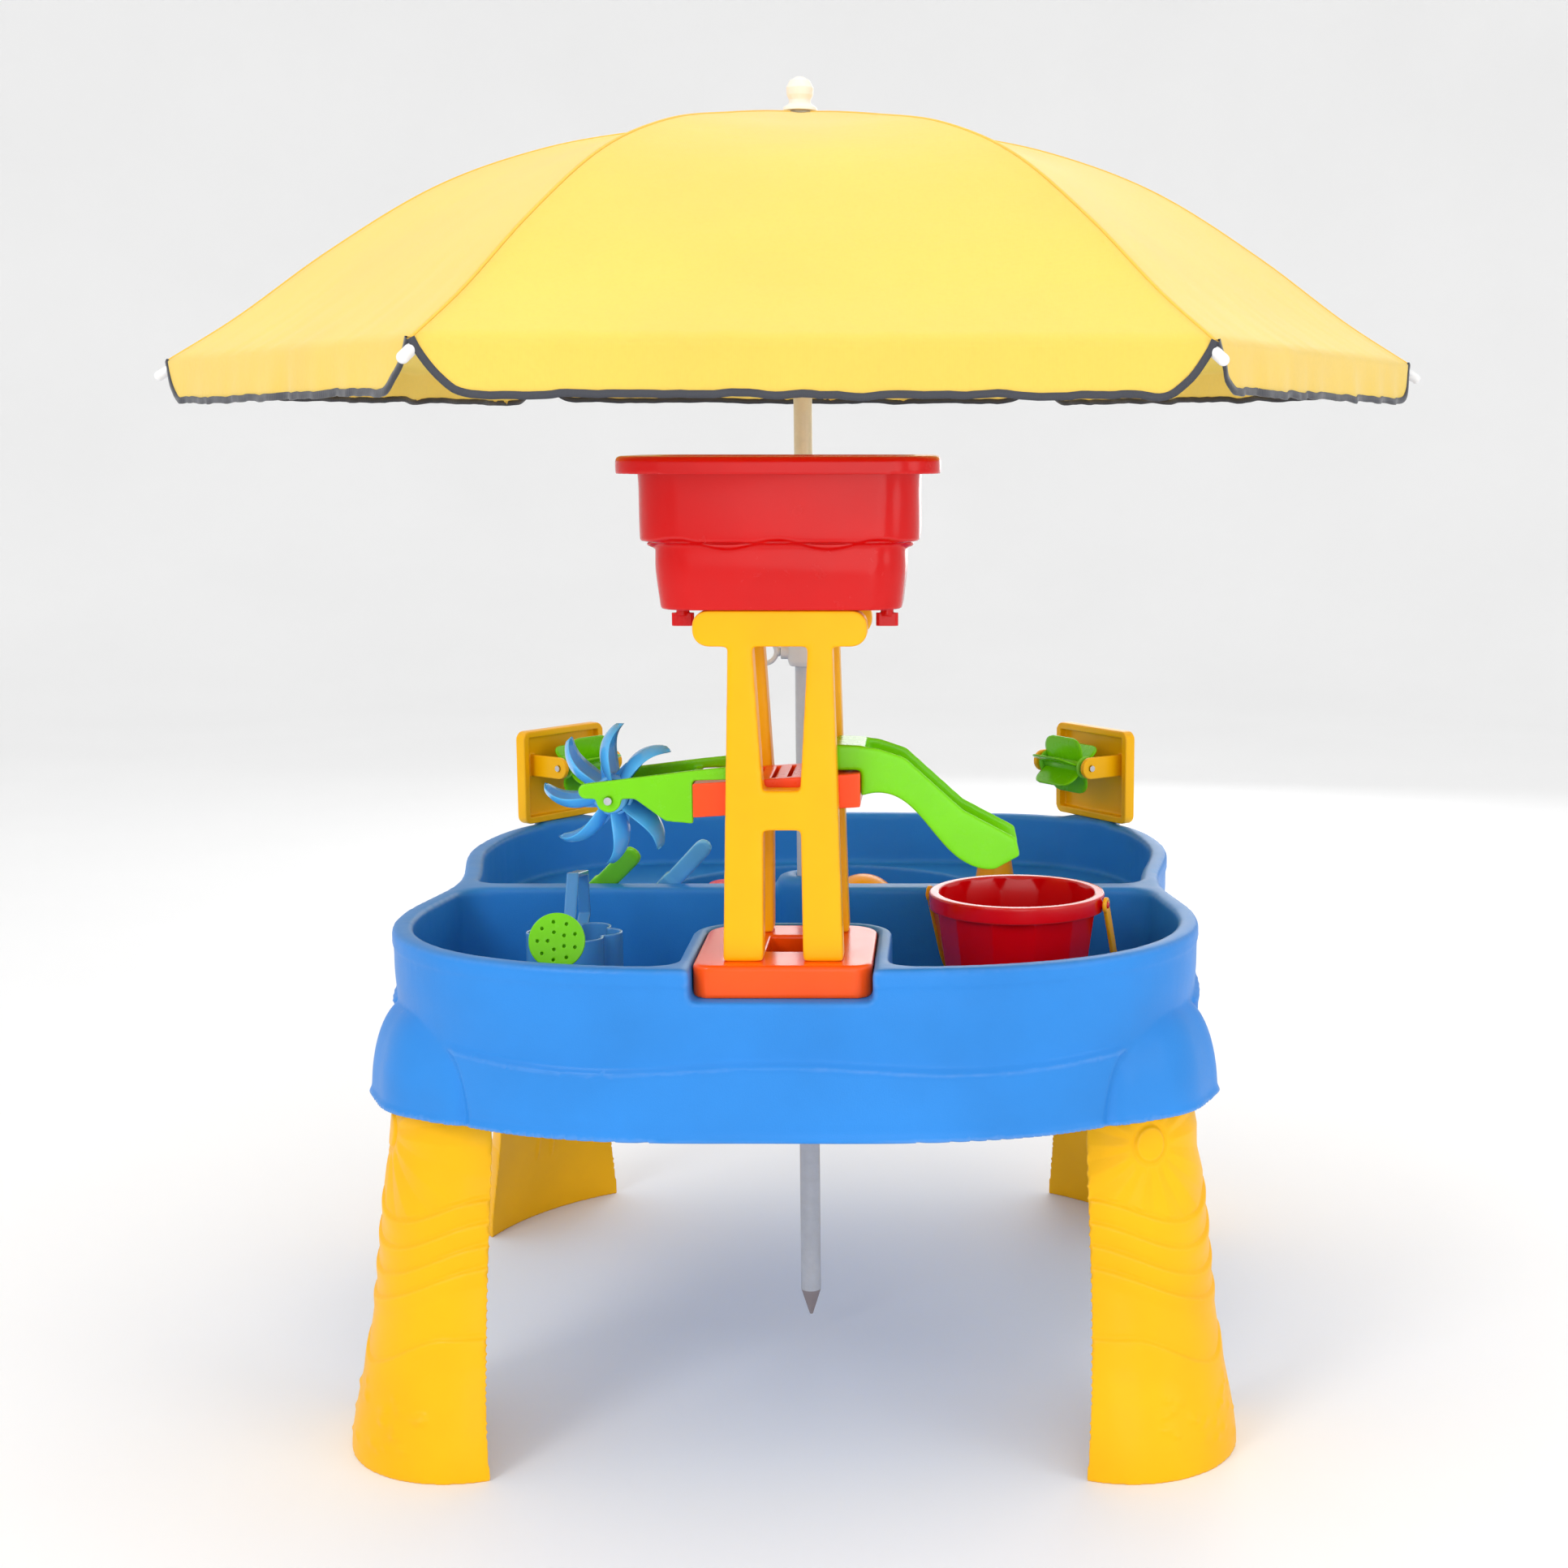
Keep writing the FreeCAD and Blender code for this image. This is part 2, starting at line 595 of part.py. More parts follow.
def make_basin():
    base = size("HeadTop")
    height = size("BasinHeight")
    wall = size("BasinWall")
    lip = size("BasinLip")
    shape = tub((90, 62, 26), (103, 77, 30), base, base + height - 2)
    step = tub((100, 73, 29), (105, 79, 31), base + 50, base + height - 2)
    rim = extrude_wire(rounded_rectangle(119, 92, 36, base + height - lip), lip)
    edges = [e for e in rim.Edges if e.BoundBox.ZMin > base + height - 0.1]
    rim = rim.makeFillet(4.0, edges)
    under = extrude_wire(rounded_rectangle(116, 89, 33, base + height - lip - 1), lip - 2)
    rim = rim.cut(under.cut(shape))
    shape = shape.fuse([step, rim])
    inside = tub((90 - wall, 62 - wall, 23), (101 - wall, 75 - wall, 27), base + wall, base + height + 1)
    shape = shape.cut(inside)
    for side in (-1, 1):
        hole = size("PlugRadius") + size("RunningGap")
        shape = shape.cut(cylinder(hole, 20, (side * size("PlugReach"), 0, base - 5)))
    shape.translate(Vector(0, size("TowerCentre"), 0))
    feature("basin", shape)
    for side, word in ((-1, "left"), (1, "right")):
        stem = cylinder(size("PlugRadius"), 16, (0, 0, base - 8))
        grip = block(-8.5, 8.5, -3.5, 3.5, base - 16, base - 6)
        grip = grip.makeFillet(2.5, [e for e in grip.Edges if e.BoundBox.ZLength > 5])
        cap = cylinder(8, 2.5, (0, 0, base + wall + 0.4))
        place = at(side * size("PlugReach"), size("TowerCentre"), 0)
        feature("drain_plug_" + word, grip.fuse([stem, cap]), place)


# ---------------------------------------------------------------- umbrella

def make_poles():
    tube = primitive("Cylinder", "lower_pole_tube", at(z=size("LowerPoleBottom")),
                     Radius="Sizes.LowerPoleRadius", Height="Sizes.LowerPoleTop - Sizes.LowerPoleBottom")
    bore = primitive("Cylinder", "lower_pole_bore", at(z=size("LowerPoleBottom") - 1),
                     Radius="Sizes.UpperPoleRadius + Sizes.SlideGap",
                     Height="Sizes.LowerPoleTop - Sizes.LowerPoleBottom + 2")
    keep(cut("lower_pole_cut", tube, bore), "lower_pole")
    tube = primitive("Cylinder", "upper_pole_tube", at(z=size("UpperPoleBottom")),
                     Radius="Sizes.UpperPoleRadius", Height="Sizes.CanopyTop + 3 - Sizes.UpperPoleBottom")
    bore = primitive("Cylinder", "upper_pole_bore", at(z=size("UpperPoleBottom") - 1),
                     Radius="Sizes.UpperPoleRadius - Sizes.TubeWall",
                     Height="Sizes.CanopyTop + 5 - Sizes.UpperPoleBottom")
    keep(cut("upper_pole_cut", tube, bore), "upper_pole")


def make_spike():
    """The pointed plug in the pole's foot."""
    bottom = size("LowerPoleBottom")
    point = Part.makeCone(1.5, size("LowerPoleRadius"), 24, Vector(0, 0, bottom - 24))
    stem = cylinder(size("UpperPoleRadius"), 30, (0, 0, bottom))
    feature("ground_spike", point.fuse(stem))


def make_clamp():
    """A split collar on the lower pole's top and a screw with a ring head that grips the upper pole."""
    bottom, top = 610.0, 652.0
    height = size("ClampHeight")
    inner = size("LowerPoleRadius")
    profile = [(inner, bottom), (13.5, bottom), (15, bottom + 4), (15, top - 5), (12.5, top), (inner, top)]
    wire = Part.makePolygon([Vector(x, 0, z) for x, z in profile + profile[:1]])
    collar = Part.Face(wire).revolve(Vector(0, 0, 0), Vector(0, 0, 1), 360)
    boss = cylinder(6.5, 9, (-21, 0, height), (1, 0, 0))
    collar = collar.fuse(boss).cut(cylinder(inner, 60, (0, 0, 600)))
    lid = cylinder(12.5, 3, (0, 0, top)).cut(cylinder(size("UpperPoleRadius") + 0.1, 5, (0, 0, top - 1)))
    bore = cylinder(2.56, 40, (-40, 0, height), (1, 0, 0))
    feature("clamp_collar", collar.fuse(lid).cut(bore).removeSplitter())
    stem = cylinder(2.5, 15.5, (-25, 0, height), (1, 0, 0))
    ring = Part.makeTorus(10, 2.2, Vector(-35, 0, height), Vector(0, 1, 0))
    shoulder = cylinder(4, 3, (-24.5, 0, height), (1, 0, 0))
    feature("clamp_screw", ring.fuse([stem, shoulder]))


RIB_PIVOT = (20.0, 1058.0)
RUNNER_PIVOT = (20.0, 930.0)
STRUT_JOINT = (252.0, 1022.0)
RIB_TIP_HEIGHT = 863.5


def rib_azimuth(index):
    return size("CanopyTurn") + 60.0 * index


def turned(shape, index):
    copy = shape.copy()
    copy.rotate(Vector(0, 0, 0), Vector(0, 0, 1), rib_azimuth(index))
    return copy


def rib_path():
    """The rib's line in its own vertical plane: a straight root, a bend and a straight outer run."""
    root = Vector(RIB_PIVOT[0] + 6, 0, RIB_PIVOT[1])
    shoulder = Vector(195, 0, 1036)
    elbow = Vector(372, 0, 960)
    outer = Vector(size("RibTipReach"), 0, RIB_TIP_HEIGHT)
    middle = Vector(288, 0, 1006)
    bend = Part.Arc(shoulder, middle, elbow)
    return Part.Wire([Part.LineSegment(root, shoulder).toShape(), bend.toShape(),
                      Part.LineSegment(elbow, outer).toShape()]), outer - elbow


def tube_between(start, end, radius):
    a, b = Vector(*start), Vector(*end)
    return Part.makeCylinder(radius, (b - a).Length, a, b - a)


def make_ribs():
    radius = size("RibRadius")
    pin = 1.5
    path, direction = rib_path()
    start = path.Vertexes[0].Point
    first = path.Edges[0].tangentAt(0)
    section = Part.Wire(Part.makeCircle(radius, start, first))
    rib = path.makePipeShell([section], True, False)
    eye = cylinder(3.6, 3.0, (RIB_PIVOT[0], -1.5, RIB_PIVOT[1]), (0, 1, 0))
    neck = block(RIB_PIVOT[0], RIB_PIVOT[0] + 9, -1.5, 1.5, RIB_PIVOT[1] - 2, RIB_PIVOT[1] + 2)
    rib = rib.fuse([eye, neck]).cut(cylinder(pin + 0.06, 10, (RIB_PIVOT[0], -5, RIB_PIVOT[1]), (0, 1, 0)))
    end = Vector(size("RibTipReach"), 0, RIB_TIP_HEIGHT)
    unit = direction.normalize()
    cap = Part.makeCylinder(4.2, 12, end, unit).fuse(Part.makeSphere(4.2, end + unit * 12))
    strut = tube_between((RUNNER_PIVOT[0] + 4, 0, RUNNER_PIVOT[1] + 1.7),
                         (STRUT_JOINT[0] - 14, 0, STRUT_JOINT[1] - 5.7), size("StrutRadius"))
    strut_eye = cylinder(3.2, 3.0, (RUNNER_PIVOT[0], -1.5, RUNNER_PIVOT[1]), (0, 1, 0))
    strut_neck = block(RUNNER_PIVOT[0], RUNNER_PIVOT[0] + 6, -1.4, 1.4,
                       RUNNER_PIVOT[1] - 1, RUNNER_PIVOT[1] + 3)
    joint_x, joint_z = STRUT_JOINT
    fork = [block(joint_x - 16, joint_x + 4, y, y + 1.4, joint_z - 9, joint_z - 2) for y in (-5.6, 4.2)]
    fork.append(block(joint_x - 18, joint_x - 13, -5.6, 5.6, joint_z - 10, joint_z - 3.5))
    strut = strut.fuse([strut_eye, strut_neck] + fork)
    strut = strut.cut(cylinder(pin + 0.06, 10, (RUNNER_PIVOT[0], -5, RUNNER_PIVOT[1]), (0, 1, 0)))
    for index in range(6):
        feature("rib_%d" % (index + 1), turned(rib, index))
        feature("rib_tip_%d" % (index + 1), turned(cap, index))
        feature("strut_%d" % (index + 1), turned(strut, index))


def ring_of_clevises(pivot, bore, low, high, hub_radius):
    """A hub with six forks and pins, for the crown and for the runner."""
    hub = cylinder(hub_radius, high - low, (0, 0, low))
    pieces = [hub]
    for index in range(6):
        for y in (-4.0, 2.0):
            ear = block(hub_radius - 3, pivot[0] + 3, y, y + 2.0, pivot[1] - 4, pivot[1] + 3)
            pieces.append(turned(ear, index))
        pieces.append(turned(cylinder(1.5, 8, (pivot[0], -4, pivot[1]), (0, 1, 0)), index))
    shape = pieces[0].fuse(pieces[1:])
    return shape.cut(cylinder(bore, high - low + 20, (0, 0, low - 10)))


def make_crown_and_runner():
    crown = ring_of_clevises(RIB_PIVOT, size("UpperPoleRadius") + 0.02, 1046.0, 1066.0, 13.5)
    feature("crown", crown)
    runner = ring_of_clevises(RUNNER_PIVOT, size("UpperPoleRadius") + 0.1, 900.0, 938.0, 13.0)
    feature("runner", runner)


def make_finial():
    """A rounded cap on a flared foot, closing the pole above the canopy."""
    base = size("CanopyTop") + 0.5
    profile = [(8.1, base), (15, base), (14, base + 3), (9.5, base + 6), (9, base + 9), (11, base + 13),
               (11.5, base + 19), (8.5, base + 25), (3, base + 28), (0, base + 28.5), (0, base + 3.5),
               (8.1, base + 3.5)]
    wire = Part.makePolygon([Vector(x, 0, z) for x, z in profile + profile[:1]])
    feature("finial", Part.Face(wire).revolve(Vector(0, 0, 0), Vector(0, 0, 1), 360))


# Height of the canopy along a rib: reach as a share of the full reach, then height.
CANOPY_RIB = [(0.034, 1075.0), (0.22, 1062.0), (0.40, 1046.0), (0.57, 1014.0), (0.75, 957.0), (0.90, 901.0),
              (1.0, 869.0), (1.0, 834.0)]


def hexagon(reach, z):
    points = []
    for index in range(6):
        angle = math.radians(rib_azimuth(index))
        points.append(Vector(reach * math.cos(angle), reach * math.sin(angle), z))
    return Part.makePolygon(points + points[:1])


def make_canopy():
    """Six gores between the ribs as one closed skin, open below."""
    reach = size("CanopyReach")
    thick = 2.5
    outer = Part.makeLoft([hexagon(r * reach, z) for r, z in CANOPY_RIB], True, True)
    inner_rows = [(r * reach - thick if r > 0.99 else r * reach, z - thick) for r, z in CANOPY_RIB]
    inner = Part.makeLoft([hexagon(r, z) for r, z in inner_rows], True, True)
    shape = outer.cut(inner).cut(cylinder(size("UpperPoleRadius") + 2.0, 60, (0, 0, 1040)))
    direction = rib_path()[1]
    start = Vector(size("RibTipReach"), 0, RIB_TIP_HEIGHT)
    eyelet = Part.makeCylinder(5.5, 40, start - direction.normalize() * 4, direction)
    shape = shape.cut(Part.makeCompound([turned(eyelet, index) for index in range(6)]))
    feature("canopy", shape)


# ---------------------------------------------------------------- accessories

def cup(bottom_radius, top_radius, height, wall, sides):
    """A faceted, open-topped cup standing at the origin."""
    def ring(radius, z):
        angles = [2 * math.pi * index / sides for index in range(sides)]
        points = [Vector(radius * math.cos(a), radius * math.sin(a), z) for a in angles]
        return Part.makePolygon(points + points[:1])

    outer = Part.makeLoft([ring(bottom_radius, 0), ring(top_radius, height)], True, True)
    inner = Part.makeLoft([ring(bottom_radius - wall, wall), ring(top_radius - wall, height + 1)], True, True)
    return outer.cut(inner)


BUCKET_TURN = -19.0
BAIL_HANG = 60.0
TOY_GAP = 0.5


def bucket_place():
    return at(size("BucketX"), size("BucketY"), size("FloorHeight") + TOY_GAP,
              Rotation(Vector(0, 0, 1), BUCKET_TURN))


def make_bucket():
    height = size("BucketHeight")
    radius = size("BucketRadius")
    body = cup(49, radius - 4, height - 2, 2.5, 12)
    lip = cylinder(radius, 14, (0, 0, height - 14)).cut(cylinder(radius - 8, 20, (0, 0, height - 16)))
    lip_under = cylinder(radius - 2, 12, (0, 0, height - 15))
    lip_under = lip_under.cut(cylinder(radius - 6.5, 20, (0, 0, height - 16)))
    body = body.fuse(lip).cut(lip_under)
    pins = []
    for side in (-1, 1):
        pins.append(cylinder(3, 7, (side * (radius - 0.5), 0, height - 7), (side, 0, 0)))
    body = body.fuse(pins)
    feature("bucket", body, bucket_place())
    outer, inner, reach = radius + 5.5, radius + 2.2, 62.0
    strap = block(-outer, outer, -reach, 0, -5, 5)
    strap = strap.fuse(cylinder(outer, 10, (0, -reach, -5)).common(block(-90, 90, -200, -reach, -5, 5)))
    hollow = block(-inner, inner, -reach, 40, -6, 6).fuse(cylinder(inner, 12, (0, -reach, -6)))
    strap = strap.cut(hollow)
    for side in (-1, 1):
        x0 = inner if side > 0 else -outer
        strap = strap.fuse(cylinder(6.5, outer - inner, (x0, 0, 0), (1, 0, 0)))
        strap = strap.cut(cylinder(3.08, 20, (side * (inner - 5), 0, 0), (side, 0, 0)))
    # the bail hangs down behind the bucket
    strap.rotate(Vector(0, 0, 0), Vector(1, 0, 0), BAIL_HANG)
    strap.rotate(Vector(0, 0, 0), Vector(0, 0, 1), 180.0)
    strap.translate(Vector(0, 0, height - 7))
    feature("bucket_handle", strap, bucket_place())


CAN_PLACE = (-184.0, -138.0)


def petals(core, lobe, length, bottom):
    """A flower-shaped prism: a core cylinder with six lobes round it."""
    lobes = []
    for index in range(6):
        angle = math.radians(60.0 * index)
        lobes.append(cylinder(lobe, length, (25 * math.cos(angle), 25 * math.sin(angle), bottom)))
    return cylinder(core, length, (0, 0, bottom)).fuse(lobes)


def make_watering_can():
    """A fluted can with a strap handle and a spout that ends in a wide perforated rose."""
    base = size("FloorHeight") + TOY_GAP
    body = petals(31, 15, 108, 0)
    inner = petals(28.5, 12.5, 120, 3)
    tip = Vector(3, -92, 120)
    root = Vector(0, -30, 52)
    spout = tube_between(root, tip, 8)
    throat = tube_between(root, tip, 5.5)
    strap_line = [(34, 96), (58, 110), (50, 150), (0, 157), (-28, 112), (-30, 100),
                  (-26, 100), (-24, 112), (0, 152.5), (46, 146), (53, 112), (34, 101)]
    strap = prism([(-5, y, z) for y, z in strap_line], (10, 0, 0))
    shape = body.fuse([spout, strap]).cut(inner.fuse(throat)).fuse(petals(31, 15, 3, 0))
    place = at(CAN_PLACE[0], CAN_PLACE[1], base)
    feature("watering_can", shape, place)
    axis = Vector(0.05, -0.97, 0.24).normalize()
    funnel = Part.makeCone(7.9, 22, 9, tip + axis * 0.3, axis)
    rose = funnel.fuse(Part.makeCylinder(22, 3.5, tip + axis * 9.3, axis))
    across = axis.cross(Vector(0, 0, 1)).normalize()
    upward = across.cross(axis).normalize()
    holes = []
    for ring_radius, count in ((7.0, 5), (15.0, 9)):
        for index in range(count):
            angle = 2 * math.pi * index / count
            offset = across * (ring_radius * math.cos(angle)) + upward * (ring_radius * math.sin(angle))
            holes.append(Part.makeCylinder(1.3, 8, tip + axis * 8 + offset, axis))
    feature("can_rose", rose.cut(Part.makeCompound(holes)), place)


def make_hand_tool(node, low, high, head, blade_half, blade_length, teeth):
    """A toy tool: a round grip leaning on the divider and a flat head lying on the ledge."""
    a, b = Vector(*low), Vector(*high)
    grip = tube_between(low, high, 5.5).fuse(Part.makeSphere(7.5, b))
    hx, hy = head
    z = size("LedgeHeight") + TOY_GAP
    blade = block(hx - blade_half, hx + blade_half, hy, hy + blade_length, z, z + 4)
    blade = blade.makeFillet(6.0, [e for e in blade.Edges if e.BoundBox.ZLength > 3])
    neck = tube_between(low, (hx, hy + 8, z + 5), 5.4).fuse(Part.makeSphere(5.4, a))
    shape = grip.fuse([blade, neck])
    for index in range(teeth):
        x = hx - blade_half + 9 + index * (2 * blade_half - 18) / max(teeth - 1, 1)
        slot = block(x - 2.2, x + 2.2, hy + blade_length - 16, hy + blade_length + 1, z - 1, z + 6)
        shape = shape.cut(slot)
    shape = shape.cut(block(-400, 0, -100, 300, z - 20, z))
    feature(node, shape)


def dome_on_drum(radius, drum):
    """Half a ball on a drum; its origin is where they meet."""
    half_ball = Part.makeSphere(radius).common(block(-50, 50, -50, 50, 0, 50))
    return half_ball.fuse(cylinder(radius, drum, (0, 0, -drum)))


def make_moulds():
    """Open-bottomed sand moulds, upside down on the tray's floor and ledge."""
    pool = size("FloorHeight") + TOY_GAP
    ledge = size("LedgeHeight") + TOY_GAP
    cone = Part.makeCone(36, 24, 76).cut(Part.makeCone(33.5, 21.5, 73))
    feature("mould_orange", cone, at(-88, 232, pool))
    feature("mould_dome", dome_on_drum(36, 46).cut(dome_on_drum(33.5, 47)), at(40, 246, pool + 46))
    small = Part.makeCone(20, 14, 36).cut(Part.makeCone(17.5, 11.5, 33.5))
    feature("mould_small", small, at(172, 296, ledge))


# ---------------------------------------------------------------- build

def build():
    screws = make_legs()
    holes = []
    for screw in screws:
        middle = screw.BoundBox.Center
        holes.append(cylinder(size("ScrewRadius") + 0.05, 3, (middle.x, middle.y, LEG_TOP)))
    feature("tray", tray_shape().cut(Part.makeCompound(holes)))
    make_panels()
    make_tower_base()
    make_frame("tower_front_frame", size("FrontFrameFace"))
    make_frame("tower_back_frame", size("BackFrameFace"))
    make_connector()
    make_cradle()
    feature("water_wheel", water_wheel_shape(), at(size("WheelX"), -237.0, size("WheelHeight")))
    make_chute()
    make_basin()
    make_poles()
    make_spike()
    make_clamp()
    make_ribs()
    make_crown_and_runner()
    make_finial()
    make_canopy()
    make_bucket()
    make_watering_can()
    make_hand_tool("shovel", (-222, 74, 371), (-149, -12, 448), (-232, 92), 26, 56, 0)
    make_hand_tool("rake", (-160, 74, 371), (-85, -20, 457), (-166, 92), 23, 36, 4)
    make_moulds()
    doc.recompute()


def check_and_write():
    problems = []
    for thing in doc.Objects:
        if "Invalid" in thing.State or "Error" in thing.State:
            problems.append("%s is %s" % (thing.Label, thing.State))
    for thing in PARTS:
        shape = thing.Shape
        if shape.isNull() or not shape.isValid() or not shape.Solids:
            problems.append("%s has a bad shape" % thing.Label)
    if problems:
        raise RuntimeError("; ".join(problems))
    os.makedirs("parts", exist_ok=True)
    for thing in PARTS:
        thing.Shape.exportStep(os.path.join("parts", thing.Label + ".step"))
        box = thing.Shape.BoundBox
        print("%-20s solids %d volume %9.0f  x %.0f..%.0f y %.0f..%.0f z %.0f..%.0f" % (
            thing.Label, len(thing.Shape.Solids), thing.Shape.Volume, box.XMin, box.XMax, box.YMin, box.YMax,
            box.ZMin, box.ZMax))


build()
check_and_write()
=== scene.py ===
import json
import math
import random

import bpy
import numpy as np
from mathutils import Matrix, Vector, noise


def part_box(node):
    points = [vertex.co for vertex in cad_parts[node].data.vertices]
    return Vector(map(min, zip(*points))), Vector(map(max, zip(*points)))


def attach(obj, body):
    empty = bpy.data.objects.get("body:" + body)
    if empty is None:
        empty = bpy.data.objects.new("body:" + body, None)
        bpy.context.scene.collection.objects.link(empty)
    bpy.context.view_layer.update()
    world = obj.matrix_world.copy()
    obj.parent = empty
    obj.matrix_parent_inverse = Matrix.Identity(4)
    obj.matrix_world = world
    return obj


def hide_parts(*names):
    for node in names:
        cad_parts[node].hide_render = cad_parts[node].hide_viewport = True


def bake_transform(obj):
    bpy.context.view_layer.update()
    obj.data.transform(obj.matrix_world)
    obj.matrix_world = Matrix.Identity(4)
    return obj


# Sand and water table with a water tower and an umbrella, dressed over its CAD frame.
# Metres throughout; lengths written as n * MM are millimetres.

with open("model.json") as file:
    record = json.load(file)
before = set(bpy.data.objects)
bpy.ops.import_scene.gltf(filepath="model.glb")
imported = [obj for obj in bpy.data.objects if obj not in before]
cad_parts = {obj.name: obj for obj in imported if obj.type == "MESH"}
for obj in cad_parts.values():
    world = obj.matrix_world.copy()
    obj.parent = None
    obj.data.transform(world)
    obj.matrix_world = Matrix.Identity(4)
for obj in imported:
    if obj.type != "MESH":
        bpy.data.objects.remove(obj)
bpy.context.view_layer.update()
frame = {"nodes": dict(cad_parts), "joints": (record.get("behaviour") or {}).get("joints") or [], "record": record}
MM = 0.001
random.seed(7)

BODY_OF = {node: body
           for body, members in frame["record"]["behaviour"]["bodies"].items() for node in members}


# ---------------------------------------------------------------- camera

CAMERA_PLACE = (0.125, -1.974, 0.805)
CAMERA_DOWN = 8.63
LENS = 52.17
FRAME_SHIFT = -0.105


def make_camera():
    """A camera in front of the table and to its right, looking slightly down; the shift frames the table.

    The plain view transform keeps the strong plastic colours, which the default one washes out."""
    data = bpy.data.cameras.new("camera")
    data.sensor_width = 36.0
    data.lens = LENS
    data.shift_x = FRAME_SHIFT
    camera = bpy.data.objects.new("camera", data)
    camera.location = CAMERA_PLACE
    camera.rotation_euler = (math.radians(90.0 - CAMERA_DOWN), 0.0, 0.0)
    bpy.context.scene.collection.objects.link(camera)
    bpy.context.scene.camera = camera
    bpy.context.scene.view_settings.view_transform = "Standard"


# ---------------------------------------------------------------- materials

def linear(red, green, blue):
    """A colour given as 0..255 display values, in the shader's linear values."""
    channels = []
    for value in (red, green, blue):
        share = value / 255.0
        channels.append(share / 12.92 if share <= 0.04045 else ((share + 0.055) / 1.055) ** 2.4)
    return tuple(channels) + (1.0,)


def scaled(colour, factor):
    return tuple(min(1.0, channel * factor) for channel in colour[:3]) + (1.0,)


def node(tree, kind, settings=(), **inputs):
    """A shader node; an input's underscores stand for spaces, and a socket given as a value is linked."""
    made = tree.nodes.new("ShaderNode" + kind)
    for key, value in dict(settings).items():
        setattr(made, key, value)
    for key, value in inputs.items():
        socket = made.inputs[key.replace("_", " ")]
        if isinstance(value, bpy.types.NodeSocket):
            tree.links.new(value, socket)
        else:
            socket.default_value = value
    return made


def ramp(tree, factor, stops):
    """A colour ramp: stops are (position, colour)."""
    made = node(tree, "ValToRGB", Fac=factor)
    elements = made.color_ramp.elements
    for element, (position, colour) in zip(elements, stops):
        element.position = position
        element.color = colour
    return made.outputs["Color"]


def start_material(name):
    material = bpy.data.materials.new(name)
    material.use_nodes = True
    tree = material.node_tree
    return material, tree, tree.nodes["Principled BSDF"]


def noise_at(tree, place, scale, detail=3.0, rough=0.5):
    return node(tree, "TexNoise", Vector=place, Scale=scale, Detail=detail, Roughness=rough).outputs["Fac"]


def spread(tree, value, low, high):
    """A 0..1 value mapped to low..high."""
    return node(tree, "MapRange", Value=value, To_Min=low, To_Max=high).outputs["Result"]


def plastic(name, colour, roughness=0.34, grain=0.05, grain_size=1.1, mottle=0.06, coat=0.25, edge_wear_and_highlight=0.10,
            scatter=0.0, clear=0.0):
    """Moulded plastic: cloudy pigment, a fine moulded grain, paler edges that are partly wear and partly painted
    highlight, and a thin gloss.
    """
    material, tree, shader = start_material(name)
    place = node(tree, "TexCoord").outputs["Object"]
    cloud = noise_at(tree, place, 11.0)
    pigment = ramp(tree, cloud, [(0.3, scaled(colour, 1.0 - mottle)), (0.7, scaled(colour, 1.0 + mottle))])
    # Painted highlight: sharp edges (high pointiness) are mixed towards a paler colour. This is partly wear and
    # partly the gloss highlight along rims.
    edge = node(tree, "NewGeometry").outputs["Pointiness"]
    worn_and_highlit_edges = ramp(tree, edge, [(0.515, (0, 0, 0, 1)), (0.60, (edge_wear_and_highlight, edge_wear_and_highlight, edge_wear_and_highlight, 1))])
    pale = tuple(channel + 0.5 * (1.0 - channel) for channel in colour[:3]) + (1.0,)
    mixed = node(tree, "MixRGB", Fac=worn_and_highlit_edges, Color1=pigment, Color2=pale).outputs["Color"]
    tree.links.new(mixed, shader.inputs["Base Color"])
    smear = noise_at(tree, place, 45.0, detail=5.0, rough=0.65)
    tree.links.new(spread(tree, smear, roughness - 0.07, roughness + 0.09), shader.inputs["Roughness"])
    fine = noise_at(tree, place, 1.0 / (grain_size * MM), detail=2.0)
    low = noise_at(tree, place, 60.0, detail=2.0)
    height = node(tree, "Math", {"operation": "MULTIPLY_ADD"})
    tree.links.new(low, height.inputs[0])
    height.inputs[1].default_value = 1.6
    tree.links.new(fine, height.inputs[2])
    bump = node(tree, "Bump", Height=height.outputs[0], Distance=0.25 * MM, Strength=grain * 4.0)
    tree.links.new(bump.outputs["Normal"], shader.inputs["Normal"])
    shader.inputs["Coat Weight"].default_value = 0.5 * coat
    shader.inputs["Specular IOR Level"].default_value = 0.2
    shader.inputs["Coat Roughness"].default_value = 0.12
    shader.inputs["IOR"].default_value = 1.5
    if scatter:
        shader.inputs["Subsurface Weight"].default_value = scatter
        shader.inputs["Subsurface Radius"].default_value = [max(0.05, channel) for channel in colour[:3]]
        shader.inputs["Subsurface Scale"].default_value = 3.0 * MM
    if clear:
        shader.inputs["Transmission Weight"].default_value = clear
    return material


